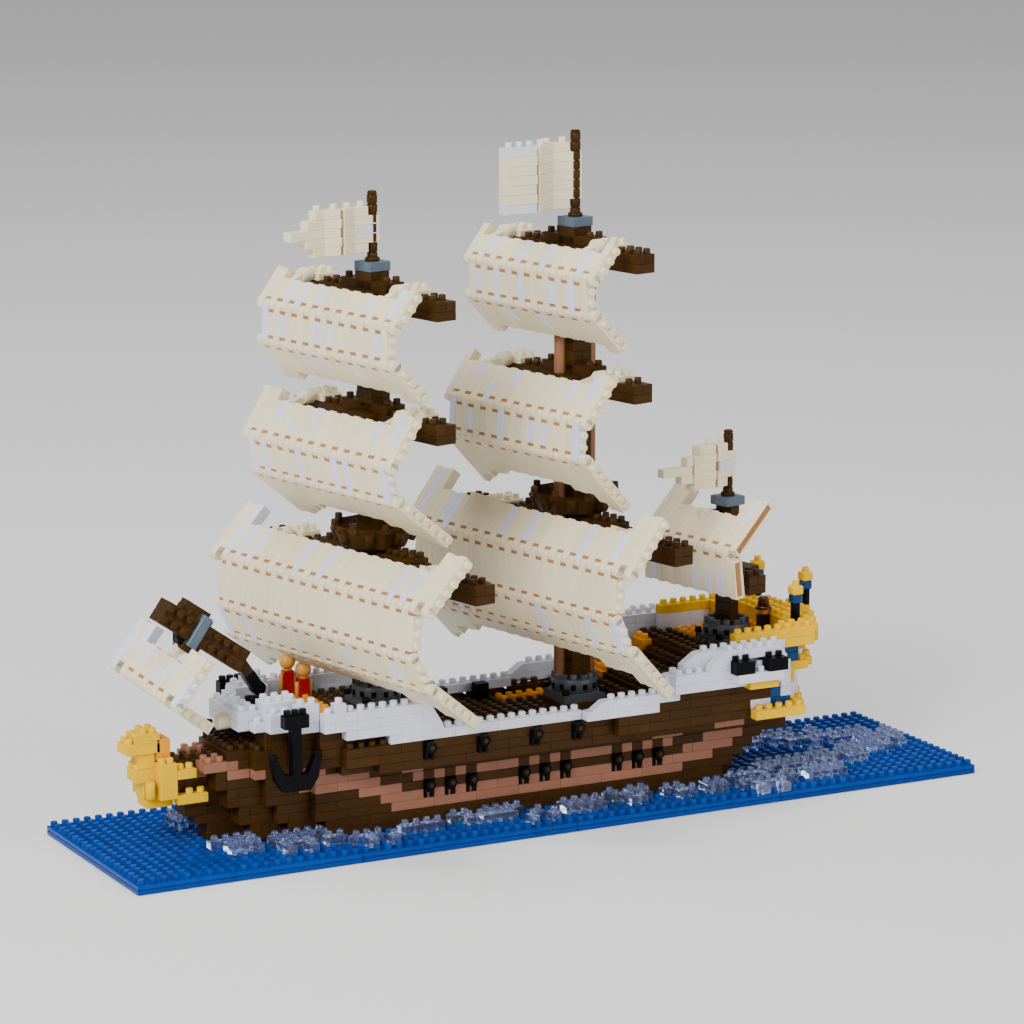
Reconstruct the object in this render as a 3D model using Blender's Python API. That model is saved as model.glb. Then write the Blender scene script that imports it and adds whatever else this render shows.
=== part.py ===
"""A small brick model of a three-masted sailing ship on its studded sea plates.

Tables give places in studs along and across the ship, from the middle of the sea plates, with
+X to the bow and +Y to port, and heights in brick courses above the sea plates. The model's own
origin lies on the underside of the plates, under the main mast.
"""

import bpy
import bmesh
from math import atan2, cos, pi, radians, sin
from mathutils import Matrix, Vector

# Driving sizes, in metres
PITCH = 0.0040
COURSE = 0.0032
SEA_THICK = 0.0032
GAP = 0.0003
ROUND_R = 0.0018

# Places of the masts, in studs, and the turn of their yards towards the port quarter
FORE_X = 14.0
MAIN_X = -5.0
MIZZEN_X = -20.2
BRACE = radians(12.5)

SEA_LENGTH = 80
SEA_WIDTH = 20
SEA_PLATES = 4

MATERIALS = {
    # name: red, green, blue, roughness, alpha
    "sea_blue": (0.01, 0.09, 0.38, 0.12, 0.9),
    "dark_brown": (0.065, 0.035, 0.018, 0.35, 1.0),
    "red_brown": (0.30, 0.14, 0.09, 0.35, 1.0),
    "white": (0.62, 0.65, 0.72, 0.3, 1.0),
    "cream": (0.76, 0.68, 0.50, 0.35, 1.0),
    "yellow": (0.90, 0.62, 0.05, 0.3, 1.0),
    "golden": (0.68, 0.30, 0.04, 0.35, 1.0),
    "window_blue": (0.03, 0.13, 0.30, 0.1, 0.8),
    "dark_grey": (0.06, 0.065, 0.07, 0.4, 1.0),
    "foam": (0.72, 0.74, 0.90, 0.08, 0.5),
    "black": (0.01, 0.01, 0.012, 0.35, 1.0),
}


def clear_scene():
    for obj in list(bpy.data.objects):
        bpy.data.objects.remove(obj)


def make_materials():
    made = {}
    for name, (red, green, blue, rough, alpha) in MATERIALS.items():
        material = bpy.data.materials.new(name)
        material.use_nodes = True
        shader = material.node_tree.nodes["Principled BSDF"]
        shader.inputs["Base Color"].default_value = (red, green, blue, 1.0)
        shader.inputs["Roughness"].default_value = rough
        shader.inputs["Metallic"].default_value = 0.0
        shader.inputs["Alpha"].default_value = alpha
        made[name] = material
    return made


def along(studs):
    """World X of a place in studs from the middle of the sea plates."""
    return (studs - MAIN_X) * PITCH


def level(courses):
    """World Z of a height in brick courses above the sea plates."""
    return SEA_THICK + courses * COURSE


def link(obj, material, parent=None):
    """Put a finished piece in the ship's collection, in its material, under its mast if it has one."""
    ship.objects.link(obj)
    obj.data.materials.clear()
    obj.data.materials.append(materials[material])
    obj.parent = parent
    return obj


def flat_curve(name, loops, half_height):
    """A 2D curve filled on both sides and extruded half its thickness each way."""
    curve = bpy.data.curves.new(name, "CURVE")
    curve.dimensions = "2D"
    curve.fill_mode = "BOTH"
    curve.extrude = half_height
    curve.resolution_u = 1
    curve.render_resolution_u = 0
    for loop in loops:
        spline = curve.splines.new("POLY")
        spline.points.add(len(loop) - 1)
        for point, (x, y) in zip(spline.points, loop):
            point.co = (x, y, 0.0, 1.0)
        spline.use_cyclic_u = True
    return bpy.data.objects.new(name, curve)


def plan_loop(steps, trim=GAP / 2):
    """The outline, seen from above, of a course that narrows in steps: (from x, to x, half width)."""
    port = []
    for i, (x_from, x_to, half) in enumerate(steps):
        start = along(x_from)
        end = along(x_to)
        if i == 0:
            start += trim
        elif steps[i - 1][2] > half:
            start -= trim
        else:
            start += trim
        if i == len(steps) - 1:
            end -= trim
        elif steps[i + 1][2] > half:
            end += trim
        else:
            end -= trim
        wide = half * PITCH - trim
        port += [(start, wide), (end, wide)]
    return port + [(x, -y) for x, y in reversed(port)]


def solid_course(low, high, steps, holes=()):
    """Bricks between two course levels with a stepped plan, and rectangular holes if any."""
    loops = [plan_loop(steps)]
    for x_from, x_to, half in holes:
        loops.append(plan_loop([(x_from, x_to, half)], -GAP / 2))
    z_low = level(low) + GAP / 2
    z_high = level(high) - GAP / 2
    bm = mesh_of(flat_curve("course", loops, (z_high - z_low) / 2), 0.0)
    bmesh.ops.translate(bm, vec=(0, 0, (z_low + z_high) / 2), verts=bm.verts)
    return bm


def course(name, low, high, steps, material, holes=()):
    return link(as_object(name, solid_course(low, high, steps, holes)), material)


def board(y_from, y_to, corners):
    """A board that stands along the ship, cut from its side view: (x in studs, height in courses)."""
    loop = [(along(x), level(z)) for x, z in corners]
    bm = mesh_of(flat_curve("board", [loop], (abs(y_to - y_from) * PITCH - GAP) / 2))
    bmesh.ops.translate(bm, vec=(0, (y_from + y_to) / 2 * PITCH, 0), verts=bm.verts)
    return bm


def new_box(size, centre, turn=None):
    """A box with a place and, if given, a turn, in a mesh of its own."""
    bm = bmesh.new()
    bmesh.ops.create_cube(bm, size=1.0)
    bmesh.ops.scale(bm, vec=size, verts=bm.verts)
    if turn is not None:
        bmesh.ops.transform(bm, matrix=turn, verts=bm.verts)
    bmesh.ops.translate(bm, vec=centre, verts=bm.verts)
    return bm


def new_round(radius, length, axis, centre, sides=12):
    """A cylinder along one of the axes X, Y or Z."""
    bm = bmesh.new()
    bmesh.ops.create_cone(bm, cap_ends=True, segments=sides, radius1=radius, radius2=radius, depth=length)
    if axis == "X":
        bmesh.ops.rotate(bm, matrix=Matrix.Rotation(pi / 2, 3, "Y"), verts=bm.verts)
    if axis == "Y":
        bmesh.ops.rotate(bm, matrix=Matrix.Rotation(pi / 2, 3, "X"), verts=bm.verts)
    bmesh.ops.translate(bm, vec=centre, verts=bm.verts)
    return bm


def new_cup(radius_low, radius_high, height, centre, sides=16):
    """A solid that widens upwards, on a vertical axis."""
    bm = bmesh.new()
    bmesh.ops.create_cone(
        bm, cap_ends=True, segments=sides, radius1=radius_low, radius2=radius_high, depth=height
    )
    bmesh.ops.translate(bm, vec=centre, verts=bm.verts)
    return bm


def as_object(name, bm):
    mesh = bpy.data.meshes.new(name)
    bm.to_mesh(mesh)
    bm.free()
    return bpy.data.objects.new(name, mesh)


def joined(name, shapes, cut=(), flat=True):
    """One mesh from shapes that overlap or share faces, less the shapes to cut away."""
    work = bpy.data.collections.new(name + "_work")
    bpy.context.scene.collection.children.link(work)
    base = as_object(name, shapes[0])
    bpy.context.scene.collection.objects.link(base)
    extra = []
    for operation, group in (("UNION", shapes[1:]), ("DIFFERENCE", cut)):
        for number, shape in enumerate(group):
            other = as_object(name + operation + str(number), shape)
            work.objects.link(other)
            extra.append(other)
            modifier = base.modifiers.new(operation + str(number), "BOOLEAN")
            modifier.operation = operation
            modifier.solver = "EXACT"
            modifier.object = other
    bpy.context.view_layer.update()
    evaluated = base.evaluated_get(bpy.context.evaluated_depsgraph_get())
    mesh = bpy.data.meshes.new_from_object(evaluated)
    for obj in extra + [base]:
        bpy.data.objects.remove(obj)
    bpy.data.collections.remove(work)
    bm = bmesh.new()
    bm.from_mesh(mesh)
    bmesh.ops.remove_doubles(bm, verts=bm.verts, dist=1e-6)
    if flat:
        bmesh.ops.dissolve_limit(bm, angle_limit=radians(0.5), verts=bm.verts, edges=bm.edges)
    bm.to_mesh(mesh)
    bm.free()
    mesh.name = name
    return bpy.data.objects.new(name, mesh)


def brick_box(x, y, z, trim=GAP / 2):
    """A box between stud columns x and y and course levels z, each a (low, high) pair."""
    size = (
        (x[1] - x[0]) * PITCH - 2 * trim,
        (y[1] - y[0]) * PITCH - 2 * trim,
        (z[1] - z[0]) * COURSE - 2 * trim,
    )
    centre = (along((x[0] + x[1]) / 2), (y[0] + y[1]) / 2 * PITCH, (level(z[0]) + level(z[1])) / 2)
    return new_box(size, centre)


def ribbon(points, thick):
    """The closed outline of a band of one thickness that follows a bent line."""
    ahead = []
    behind = []
    for i, point in enumerate(points):
        here = Vector(point)
        before = (here - Vector(points[i - 1])).normalized() if i else None
        after = (Vector(points[i + 1]) - here).normalized() if i < len(points) - 1 else None
        before = before or after
        after = after or before
        side_before = Vector((-before.y, before.x))
        side_after = Vector((-after.y, after.x))
        mitre = (side_before + side_after).normalized()
        reach = thick / 2 / mitre.dot(side_after)
        ahead.append(tuple(here + mitre * reach))
        behind.append(tuple(here - mitre * reach))
    return ahead + behind[::-1]


# Sea plates, with the studs of their outer rows and, beyond bow and stern, of two inner rows

STUD_EVERY = 5
STUD_FIRST = 2.5
STUD_ROWS = (-9.5, -4.5, 4.5, 9.5)
STUD_R = 0.31
STUD_HIGH = 0.44
OPEN_SEA = 33


def build_sea():
    length = SEA_LENGTH // SEA_PLATES
    for number in range(SEA_PLATES):
        low = -SEA_LENGTH / 2 + number * length
        size = (length * PITCH - GAP, SEA_WIDTH * PITCH, SEA_THICK - GAP)
        centre = (along(low + length / 2), 0.0, size[2] / 2)
        studs = bmesh.new()
        for step in range(0, length, STUD_EVERY):
            x = low + STUD_FIRST + step
            for y in STUD_ROWS:
                if abs(y) > 9 or abs(x) > OPEN_SEA:
                    place = (along(x), y * PITCH, size[2] + (STUD_HIGH / 2 - 0.05) * PITCH)
                    stud = new_round(STUD_R * PITCH, (STUD_HIGH + 0.1) * PITCH, "Z", place, 8)
                    stud_object = as_object("stud", stud)
                    studs.from_mesh(stud_object.data)
                    bpy.data.objects.remove(stud_object)
        name = f"sea_plate_{number + 1}"
        link(joined(name, [new_box(size, centre), studs], flat=False), "sea_blue")


# Hull

LOWER_GUNS = (7.5, 9.5, 11.5, -1.5, 0.5, 2.5, -10.5, -8.5, -6.5)
UPPER_GUNS = (12.5, 7.5, 2.5, -1.5, -5.5)
GUN_R = 0.34

HULL_COURSES = [
    # low level, high level, material, stepped plan: (from x, to x, half width)
    (0, 2, "dark_brown", [(-19, -17, 3), (-17, 21, 5), (21, 24, 4), (24, 27, 3), (27, 30, 1)]),
    (2, 3, "red_brown", [(-20, -18, 3), (-18, 22, 5), (22, 25, 4), (25, 28, 3), (28, 31, 1)]),
    (3, 4, "red_brown", [(-21, -19, 3), (-19, 22, 5), (22, 25, 4), (25, 28, 3), (28, 32, 1)]),
    (4, 5, "dark_brown", [(-22, -20, 2), (-20, 22, 5), (22, 26, 4), (26, 29, 3), (29, 32, 1)]),
    (5, 6, "red_brown", [(-24, -21, 4), (-21, 22, 5), (22, 26, 4), (26, 29, 3), (29, 33, 1)]),
    (6, 7, "dark_brown", [(-24, -21, 4), (-21, 22, 5), (22, 26, 4), (26, 30, 3), (30, 33, 1)]),
    (7, 8, "dark_brown", [(-26, -25, 2), (-25, -24, 4), (-24, -22, 6), (-22, 17, 7), (17, 20, 6), (20, 23, 5), (23, 27, 4), (27, 30, 3), (30, 33, 1)]),
    (8, 9, "dark_brown", [(-22, -5, 8), (-5, 20, 7), (20, 22, 6), (22, 24, 5), (24, 27, 4), (27, 31, 3), (31, 33, 1)]),
]
FOAM = {
    # name: open at its front end, its stepped plan, that of the hull's foot within it
    "bow_wave": (
        False,
        [(2, 16, 7), (16, 20, 8), (20, 23, 7), (23, 26, 8), (26, 31, 6), (31, 33, 3)],
        [(2, 21, 5), (21, 24, 4), (24, 27, 3), (27, 30, 1)],
    ),
    "wake": (True, [(-38, -33, 2), (-33, -28, 4), (-28, -24, 6), (-24, 0, 8)], [(-19, -17, 3), (-17, 0, 5)]),
}
GUN_DECK = [(-22, -5, 8), (-5, 20, 7), (20, 22, 6), (22, 24, 5), (24, 27, 4), (27, 29, 3)]
WAIST = (-9, 11, 6)


def with_guns(name, wall, columns, height, y_from, y_to, material):
    """A course of bricks with a row of round gun barrels on both of its sides."""
    barrels = bmesh.new()
    for x in columns:
        for side in (-1, 1):
            centre = (along(x), side * (y_from + y_to) / 2 * PITCH, level(height))
            barrel = as_object("barrel", new_round(GUN_R * PITCH, (y_to - y_from) * PITCH, "Y", centre, 8))
            barrels.from_mesh(barrel.data)
            bpy.data.objects.remove(barrel)
    link(joined(name, [wall, barrels], flat=False), material)


def foam_loop(open_ahead, steps, foot):
    """The outline of the foam that goes round one end of the hull's foot."""
    outer = plan_loop(steps)
    first = min(x for x, y in outer)
    last = max(x for x, y in outer)
    inner = [(min(max(x, first), last), y) for x, y in plan_loop(foot, -GAP / 2)]
    if open_ahead:
        outer = outer[len(outer) // 2:] + outer[:len(outer) // 2]
        inner = inner[len(inner) // 2:] + inner[:len(inner) // 2]
    return outer + inner[::-1]


def build_hull():
    for number, (low, high, material, steps) in enumerate(HULL_COURSES):
        name = f"hull_course_{number + 1}"
        if low == 4:
            wall = solid_course(low, high, steps)
            with_guns(name, wall, LOWER_GUNS, 4.5, 4.5, 6.6, material)
        else:
            link(as_object(name, solid_course(low, high, steps)), material)
    wall = solid_course(9, 10, GUN_DECK, [WAIST])
    with_guns("gun_wall_course", wall, UPPER_GUNS, 9.5, 6.5, 8.6, "dark_brown")
    course("forecastle_deck", 10, 12, [(11, 19, 6), (19, 22, 6), (22, 24, 5), (24, 26, 4)], "golden")
    course("quarter_deck", 10, 12, [(-22, -10, 7)], "golden")
    course("poop_deck", 12, 14, [(-22, -15, 7)], "golden")
    for name, (open_ahead, steps, foot) in FOAM.items():
        foam = mesh_of(flat_curve(name, [foam_loop(open_ahead, steps, foot)], (COURSE - GAP) / 2), 0.0)
        bmesh.ops.translate(foam, vec=(0, 0, level(0.5)), verts=foam.verts)
        link(as_object(name, foam), "foam")


FRONT_RAIL = [
    # x in studs, height in courses, along the foot of the wall and back along its top
    (-6, 10), (19, 10), (19, 14), (12.5, 14), (10.5, 11), (-2, 11), (-3, 12), (-6, 12),
]
AFT_RAIL = [
    (-22, 10), (-5, 10), (-5, 12), (-9, 12), (-10.2, 13.7), (-11, 14), (-12.5, 16), (-21, 16), (-22, 15),
]
QUARTER_RAIL = [
    (-21, 12), (-13.4, 12), (-13.4, 14.2), (-15, 16), (-20, 16), (-21, 15),
]
RAIL_TRIM = 0.04


def trimmed(corners, foot_corners):
    """Corners of a wall drawn in from its neighbours below and above by a little."""
    foot = [(x, z + RAIL_TRIM) for x, z in corners[:foot_corners]]
    return foot + [(x, z - RAIL_TRIM) for x, z in corners[foot_corners:]]


def build_bulwarks():
    for name, side in (("port", 1), ("starboard", -1)):
        front = board(side * 6, side * 7, trimmed(FRONT_RAIL, 2))
        aft = board(side * 7, side * 8, trimmed(AFT_RAIL, 2))
        quarter = board(side * 8, side * 9, trimmed(QUARTER_RAIL, 2))
        y = sorted((side * 6.3, side * 7.7))
        links = [brick_box((-5.9, -5.1), y, (10.1, 11.9))]
        y = sorted((side * 7.3, side * 8.7))
        links.append(brick_box((-19.9, -15.1), y, (12.5, 15.5)))
        link(joined(f"bulwark_{name}", [front, aft, quarter] + links), "white")
    ring = [(19, 22, 7), (22, 24, 6), (24, 26, 5), (26, 28, 4), (28, 29, 3)]
    well = [brick_box((x_from - 1, x_to - 1), (1 - half, half - 1), (11, 16), -GAP / 2) for x_from, x_to, half in ring]
    link(joined("bow_wall", [solid_course(12, 15, ring)], well), "white")


# Stern

STERN_STEPS = [(-27, -26, 3), (-26, -25, 4), (-25, -24, 5), (-24, -23, 6), (-23, -22, 7)]
LEDGE_STEPS = [(-27, -26, 1), (-26, -25, 3), (-25, -24, 5), (-24, -23, 7), (-23, -22, 9)]
WINDOW_STEPS = [(-25, -23, 3), (-23, -22, 5)]
RAIL_STEPS = [(-28.6, -28, 1), (-28, -27, 2), (-27, -26, 4), (-26, -25, 6), (-25, -16.5, 7)]
# lantern: x, y in studs and the level it stands on
LANTERNS = [(-24.5, 4.5, 17), (-27.9, 0, 17), (-25.5, -4.5, 17)]


def build_stern():
    ledge = [solid_course(8, 9, LEDGE_STEPS)]
    ledge += [brick_box((-22.2, -17.5), sorted((side * 8, side * 9)), (8, 9)) for side in (-1, 1)]
    link(joined("stern_ledge", ledge), "yellow")
    course("stern_windows", 9, 14, WINDOW_STEPS, "window_blue")
    moulding = [solid_course(11, 12.5, STERN_STEPS)]
    for x_from, x_to, half in WINDOW_STEPS:
        hole = brick_box((x_from, x_to), (-half, half), (10, 14), -GAP / 2)
        moulding.append(hole)
    link(joined("stern_moulding", moulding[:1], moulding[1:]), "yellow")
    rail = [solid_course(14, 17, RAIL_STEPS)]
    wells = [
        brick_box((-22.4, -12), (-6, 6), (13, 18), -GAP / 2),
        brick_box((-25, -21), (-3.7, 3.7), (15, 18), -GAP / 2),
    ]
    for x, y, foot in LANTERNS:
        post = new_round(0.45 * PITCH, 2.4 * PITCH, "Z", (along(x), y * PITCH, level(foot) + 1.0 * PITCH))
        cap = brick_box((x - 0.65, x + 0.65), (y - 0.65, y + 0.65), (foot + 2, foot + 4))
        rail += [post, cap]
    link(joined("poop_rail", rail, wells), "yellow")


# Bow

FIGUREHEAD = [
    # x, y, level ranges: feet, body, chest, crest and head, then flanks and hind feet beside the stem
    ((33, 35.4), (-1, 1), (4.4, 5.6)),
    ((33, 34.6), (-2, 2), (5.4, 9.4)),
    ((34, 36.4), (-1, 1), (7.2, 10.2)),
    ((33.2, 34.4), (-1, 1), (9.2, 11.4)),
    ((34, 37.2), (-1, 1), (10, 12.4)),
    ((31.2, 33.4), (1, 2), (7, 8.6)),
    ((31.2, 33.4), (-2, -1), (7, 8.6)),
    ((30.2, 33.4), (1, 2), (4.6, 5.8)),
    ((30.2, 33.4), (-2, -1), (4.6, 5.8)),
]


def build_bow():
    link(joined("figurehead", [brick_box(*row) for row in FIGUREHEAD]), "yellow")


ANCHOR_ARMS = [
    # x in studs, height in courses, round the crown and the two arms
    (22.2, 10.2), (22.9, 7.0), (24.0, 6.1), (25.0, 6.1), (26.1, 7.0), (26.8, 10.2), (25.4, 8.4), (23.6, 8.4),
]


def build_anchors():
    for name, side in (("port", 1), ("starboard", -1)):
        y = sorted((side * 6.1, side * 7.1))
        shank = brick_box((24, 25), y, (6.2, 14))
        stock = brick_box((23.4, 25.6), y, (13, 14.6))
        arms = board(y[0], y[1], ANCHOR_ARMS)
        link(joined(f"anchor_{name}", [shank, stock, arms]), "black")


FIGURES = [
    # name, x, y in studs, level of the deck
    ("captain", -23.6, 0.6, 15),
    ("lookout", 19.8, -5.2, 12),
    ("sailor", 18.0, -4.6, 12),
]


def build_figures():
    for name, x, y, deck in FIGURES:
        body = brick_box((x - 0.7, x + 0.7), (y - 0.5, y + 0.5), (deck, deck + 2.6))
        top = level(deck + 2.5)
        head = new_round(0.55 * PITCH, 1.1 * PITCH, "Z", (along(x), y * PITCH, top + 0.5 * PITCH))
        link(joined(name, [body, head]), "golden")


# Masts, in each mast's own frame: +X ahead of the yards, +Y along them to port

MASTS = {
    # name: x in studs, seat and foot of its ring in courses, column top, pole top, above the floor
    "fore": (FORE_X, 12, 12, 47.4, 54.0),
    "main": (MAIN_X, 9, 10, 49.9, 58.0),
    "mizzen": (MIZZEN_X, 14, 14, 24.4, 31.0),
}

YARDS = [
    # mast, yard, half length, foot above the floor, from and to ahead of the mast, in studs
    ("fore", "course", 14.6, 21.6, -1, 1),
    ("fore", "topsail", 9.64, 34.1, -1, 1),
    ("fore", "topgallant", 9.7, 44.3, -1, 1),
    ("main", "course", 14.0, 22.8, -1, 1),
    ("main", "topsail", 8.8, 35.8, -1, 1),
    ("main", "topgallant", 9.0, 46.8, -1, 1),
    ("mizzen", "course", 5.2, 17.4, 0.2, 2.2),
]
COLUMN_DEEP = {"fore": 1, "main": 1, "mizzen": 0.5}
YARD_HIGH = 1.6
DRUM_R = 2.05
NESTS = {
    # mast: foot and top above the floor, radius at the foot and at the top, in studs
    "fore": (24.3, 26.2, 2.9, 3.7),
    "main": (25.5, 27.2, 3.1, 3.9),
}

SAILS = [
    # mast, sail, half width, first stud ahead of the mast and above the floor, runs down the side
    # view (studs, degrees), and its knuckles: ahead, above the floor, then their places along the yard
    ("fore", "course", 14.8, (2.2, 25.25), ((5, -43), (4, -83.5), (3, -116), (5, -142)), (1.9, 23.85, -9.7, 10.3)),
    ("fore", "topsail", 10.0, (3.54, 36.24), ((4, -56), (3, -103), (6, -142)), (1.9, 36.2, -6.5, 6.5)),
    ("fore", "topgallant", 9.2, (2.76, 46.36), ((3, -50.5), (3, -88), (4, -134)), (1.6, 46.4, -7.0, 5.7)),
    ("main", "course", 14.8, (3.1, 26.8), ((5, -50), (4, -86), (3, -113), (5, -134)), (1.9, 24.9, -8.9, 9.5)),
    ("main", "topsail", 9.2, (3.98, 38.02), ((4, -53), (3, -87), (6, -134)), (1.9, 37.8, -7.0, 5.6)),
    ("main", "topgallant", 8.4, (2.97, 48.86), ((3, -49), (3, -93), (4, -135)), (1.6, 48.8, -7.0, 4.9)),
    ("mizzen", "course", 5.9, (0.72, 24.95), ((5, -44), (3.5, -97)), (2.0, 23.6, -0.5)),
]
SHORTER = {
    # sail: how far from the mast its edges are cut shorter (half width, studs at the top, at the foot)
    "course": [(12.6, 2, 1.0), (11.5, 0, 2.4), (8.4, 0, 3.6)],
    "topsail": [(8.0, 1, 1.0), (6.4, 0, 1.9), (4.2, 0, 2.7)],
    "topgallant": [(7.6, 1, 0), (7.0, 0, 1.0)],
    "mizzen": [(3.2, 2, 0)],
}
SAIL_THICK = 0.96
KNUCKLE_R = 0.5
KNUCKLE_GAP = 0.1

FLAGS = {
    # mast: side view ahead of the pole and above the floor, in studs
    "fore": [(0.6, 49.0), (5.7, 49.0), (9.1, 50.9), (5.7, 52.8), (0.6, 52.8)],
    "main": [(0.6, 51.4), (8.1, 51.4), (8.1, 57.0), (0.6, 57.0)],
    "mizzen": [(0.6, 26.2), (5.4, 26.2), (8.4, 28.1), (5.4, 30.0), (0.6, 30.0)],
}


def mast_empty(name, x):
    empty = bpy.data.objects.new(name + "_mast_axis", None)
    ship.objects.link(empty)
    empty.location = (along(x), 0.0, 0.0)
    empty.rotation_euler.z = BRACE
    return empty


def studs_box(x, y, z, trim=GAP / 2):
    """A box in studs in a mast's frame."""
    size = [(high - low) * PITCH - 2 * trim for low, high in (x, y, z)]
    centre = [(low + high) / 2 * PITCH for low, high in (x, y, z)]
    return new_box(size, centre)


def build_masts():
    for name, (x, seat, foot, column_top, pole_top) in MASTS.items():
        axis = mast_empty(name, x)
        deep = COLUMN_DEEP[name]
        seat_z = level(seat) / PITCH
        foot_z = level(foot) / PITCH
        ring_top = foot_z + 2.0
        ring = joined(
            f"{name}_mast_ring",
            [
                studs_box((-2, 2), (-2, 2), (seat_z, foot_z + 0.8)),
                new_round(DRUM_R * PITCH, 1.2 * PITCH, "Z", (0, 0, (foot_z + 1.3) * PITCH), 16),
            ],
        )
        link(ring, "dark_grey").location.x = along(x)
        pole_long = pole_top - column_top - 0.4
        column = [
            studs_box((-deep, deep), (-1, 1), (ring_top, column_top)),
            studs_box((-1.05, 1.05), (-1.05, 1.05), (column_top, column_top + 0.8), -GAP / 2),
            new_round(ROUND_R, pole_long * PITCH, "Z", (0, 0, (pole_top - pole_long / 2) * PITCH)),
        ]
        if name == "mizzen":
            ahead, up, *places = SAILS[-1][5]
            column.append(seat_for(0.3, ahead, up, places[0]))
        link(joined(f"{name}_mast", column), "dark_brown", axis)
        flag = mesh_of(flat_curve("flag", [scaled(FLAGS[name])], 0.45 * PITCH))
        link(as_object(f"{name}_flag", flag), "cream", axis)
        for mast, *yard in YARDS:
            if mast == name:
                build_yard(name, *yard, axis)
        for mast, *sail in SAILS:
            if mast == name:
                build_sail(name, *sail, axis)
        if name in NESTS:
            build_nest(name, axis)


def scaled(points):
    return [(x * PITCH, z * PITCH) for x, z in points]


def seat_for(back, ahead, up, place):
    """The block that holds a sail's knuckle, up to just behind the knuckle."""
    front = ahead - KNUCKLE_R - KNUCKLE_GAP
    return studs_box((back, front), (place - 0.5, place + 0.5), (up - 0.5, up + 0.35), 0)


def build_yard(mast, yard, half, foot, back, front, axis):
    top = foot + YARD_HIGH
    shapes = [
        studs_box((back, front), (-half, half), (foot, top)),
        studs_box((-2, max(2, front)), (-2, 2), (foot, top)),
    ]
    if mast != "mizzen":
        ahead, up, *places = next(row[5] for row in SAILS if row[:2] == (mast, yard))
        shapes += [seat_for(-0.8, ahead, up, place) for place in places]
        shapes += [studs_box((-0.7, 0.7), (p - 0.4, p + 0.4), (foot + 1, up), 0) for p in places]
    if yard == "course" and mast != "mizzen":
        shapes.append(studs_box((-1, 1), (-6, 6), (foot + 1, top + 0.8)))
    deep = COLUMN_DEEP[mast]
    hole = studs_box((-deep, deep), (-1, 1), (foot - 1, top + 2), -GAP / 2)
    link(joined(f"{mast}_{yard}_yard", shapes, [hole]), "dark_brown", axis)


def build_nest(mast, axis):
    foot, top, radius_low, radius_high = NESTS[mast]
    height = (top - foot) * PITCH
    cup = new_cup(radius_low * PITCH, radius_high * PITCH, height, (0, 0, (foot + top) / 2 * PITCH))
    hole = studs_box((-1, 1), (-1, 1), (foot - 1, top + 1), -GAP / 2)
    link(joined(f"{mast}_top", [cup], [hole]), "dark_brown", axis)


def sail_line(start, runs):
    """The middle line of a sail's side view, half a stud longer than its studs at each end."""
    x, z = start
    points = []
    for number, (steps, degrees) in enumerate(runs):
        way = Vector((cos(radians(degrees)), sin(radians(degrees))))
        if number == 0:
            points.append(Vector((x, z)) - way / 2)
        x += steps * way.x
        z += steps * way.y
        points.append(Vector((x, z)))
    points[-1] += way / 2
    return points


def edge_cut(end, before, half, short):
    """What is cut off a sail's edge to make it shorter near the mast."""
    way = (end - before).normalized()
    middle = end + way * (1 - short) / 2
    turn = Matrix.Rotation(-atan2(way.y, way.x), 4, "Y")
    size = ((short + 1) * PITCH, 2 * half * PITCH, 1.8 * PITCH)
    return new_box(size, (middle.x * PITCH, 0, middle.y * PITCH), turn)


def build_sail(mast, sail, half, start, runs, knuckle, axis):
    ahead, up, *places = knuckle
    line = [point - Vector((ahead, up)) for point in sail_line(start, runs)]
    band = mesh_of(flat_curve("band", [scaled(ribbon(line, SAIL_THICK))], half * PITCH))
    cuts = []
    for wide, top_short, foot_short in SHORTER["mizzen" if mast == "mizzen" else sail]:
        if top_short:
            cuts.append(edge_cut(line[0], line[1], wide, top_short))
            edge = line[0] + (line[1] - line[0]).normalized() * (top_short + 0.9)
        if foot_short:
            cuts.append(edge_cut(line[-1], line[-2], wide, foot_short))
    shapes = [mesh_from(joined("cut_band", [band], cuts))]
    turn = Matrix.Rotation(-atan2(edge.y, edge.x), 4, "Y")
    for place in places:
        shapes.append(new_round(KNUCKLE_R * PITCH, 0.9 * PITCH, "Y", (0, place * PITCH, 0)))
        size = (edge.length * PITCH, 0.7 * PITCH, 0.7 * PITCH)
        shapes.append(new_box(size, (edge.x / 2 * PITCH, place * PITCH, edge.y / 2 * PITCH), turn))
    obj = link(joined(f"{mast}_{sail}_sail", shapes), "cream", axis)
    obj.location = (ahead * PITCH, 0.0, up * PITCH)


def mesh_from(obj):
    bm = bmesh.new()
    bm.from_mesh(obj.data)
    bpy.data.objects.remove(obj)
    return bm


def mesh_of(curve_object, tilt=pi / 2):
    """The mesh of a flat curve, turned to stand along X and Z unless told not to, with welded caps."""
    bpy.context.scene.collection.objects.link(curve_object)
    bpy.context.view_layer.update()
    evaluated = curve_object.evaluated_get(bpy.context.evaluated_depsgraph_get())
    mesh = bpy.data.meshes.new_from_object(evaluated)
    bpy.data.objects.remove(curve_object)
    bm = bmesh.new()
    bm.from_mesh(mesh)
    bpy.data.meshes.remove(mesh)
    bmesh.ops.remove_doubles(bm, verts=bm.verts, dist=1e-6)
    bmesh.ops.rotate(bm, matrix=Matrix.Rotation(tilt, 3, "X"), verts=bm.verts)
    bmesh.ops.recalc_face_normals(bm, faces=bm.faces)
    return bm


# Bowsprit and its sail, in the hull's frame

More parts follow.
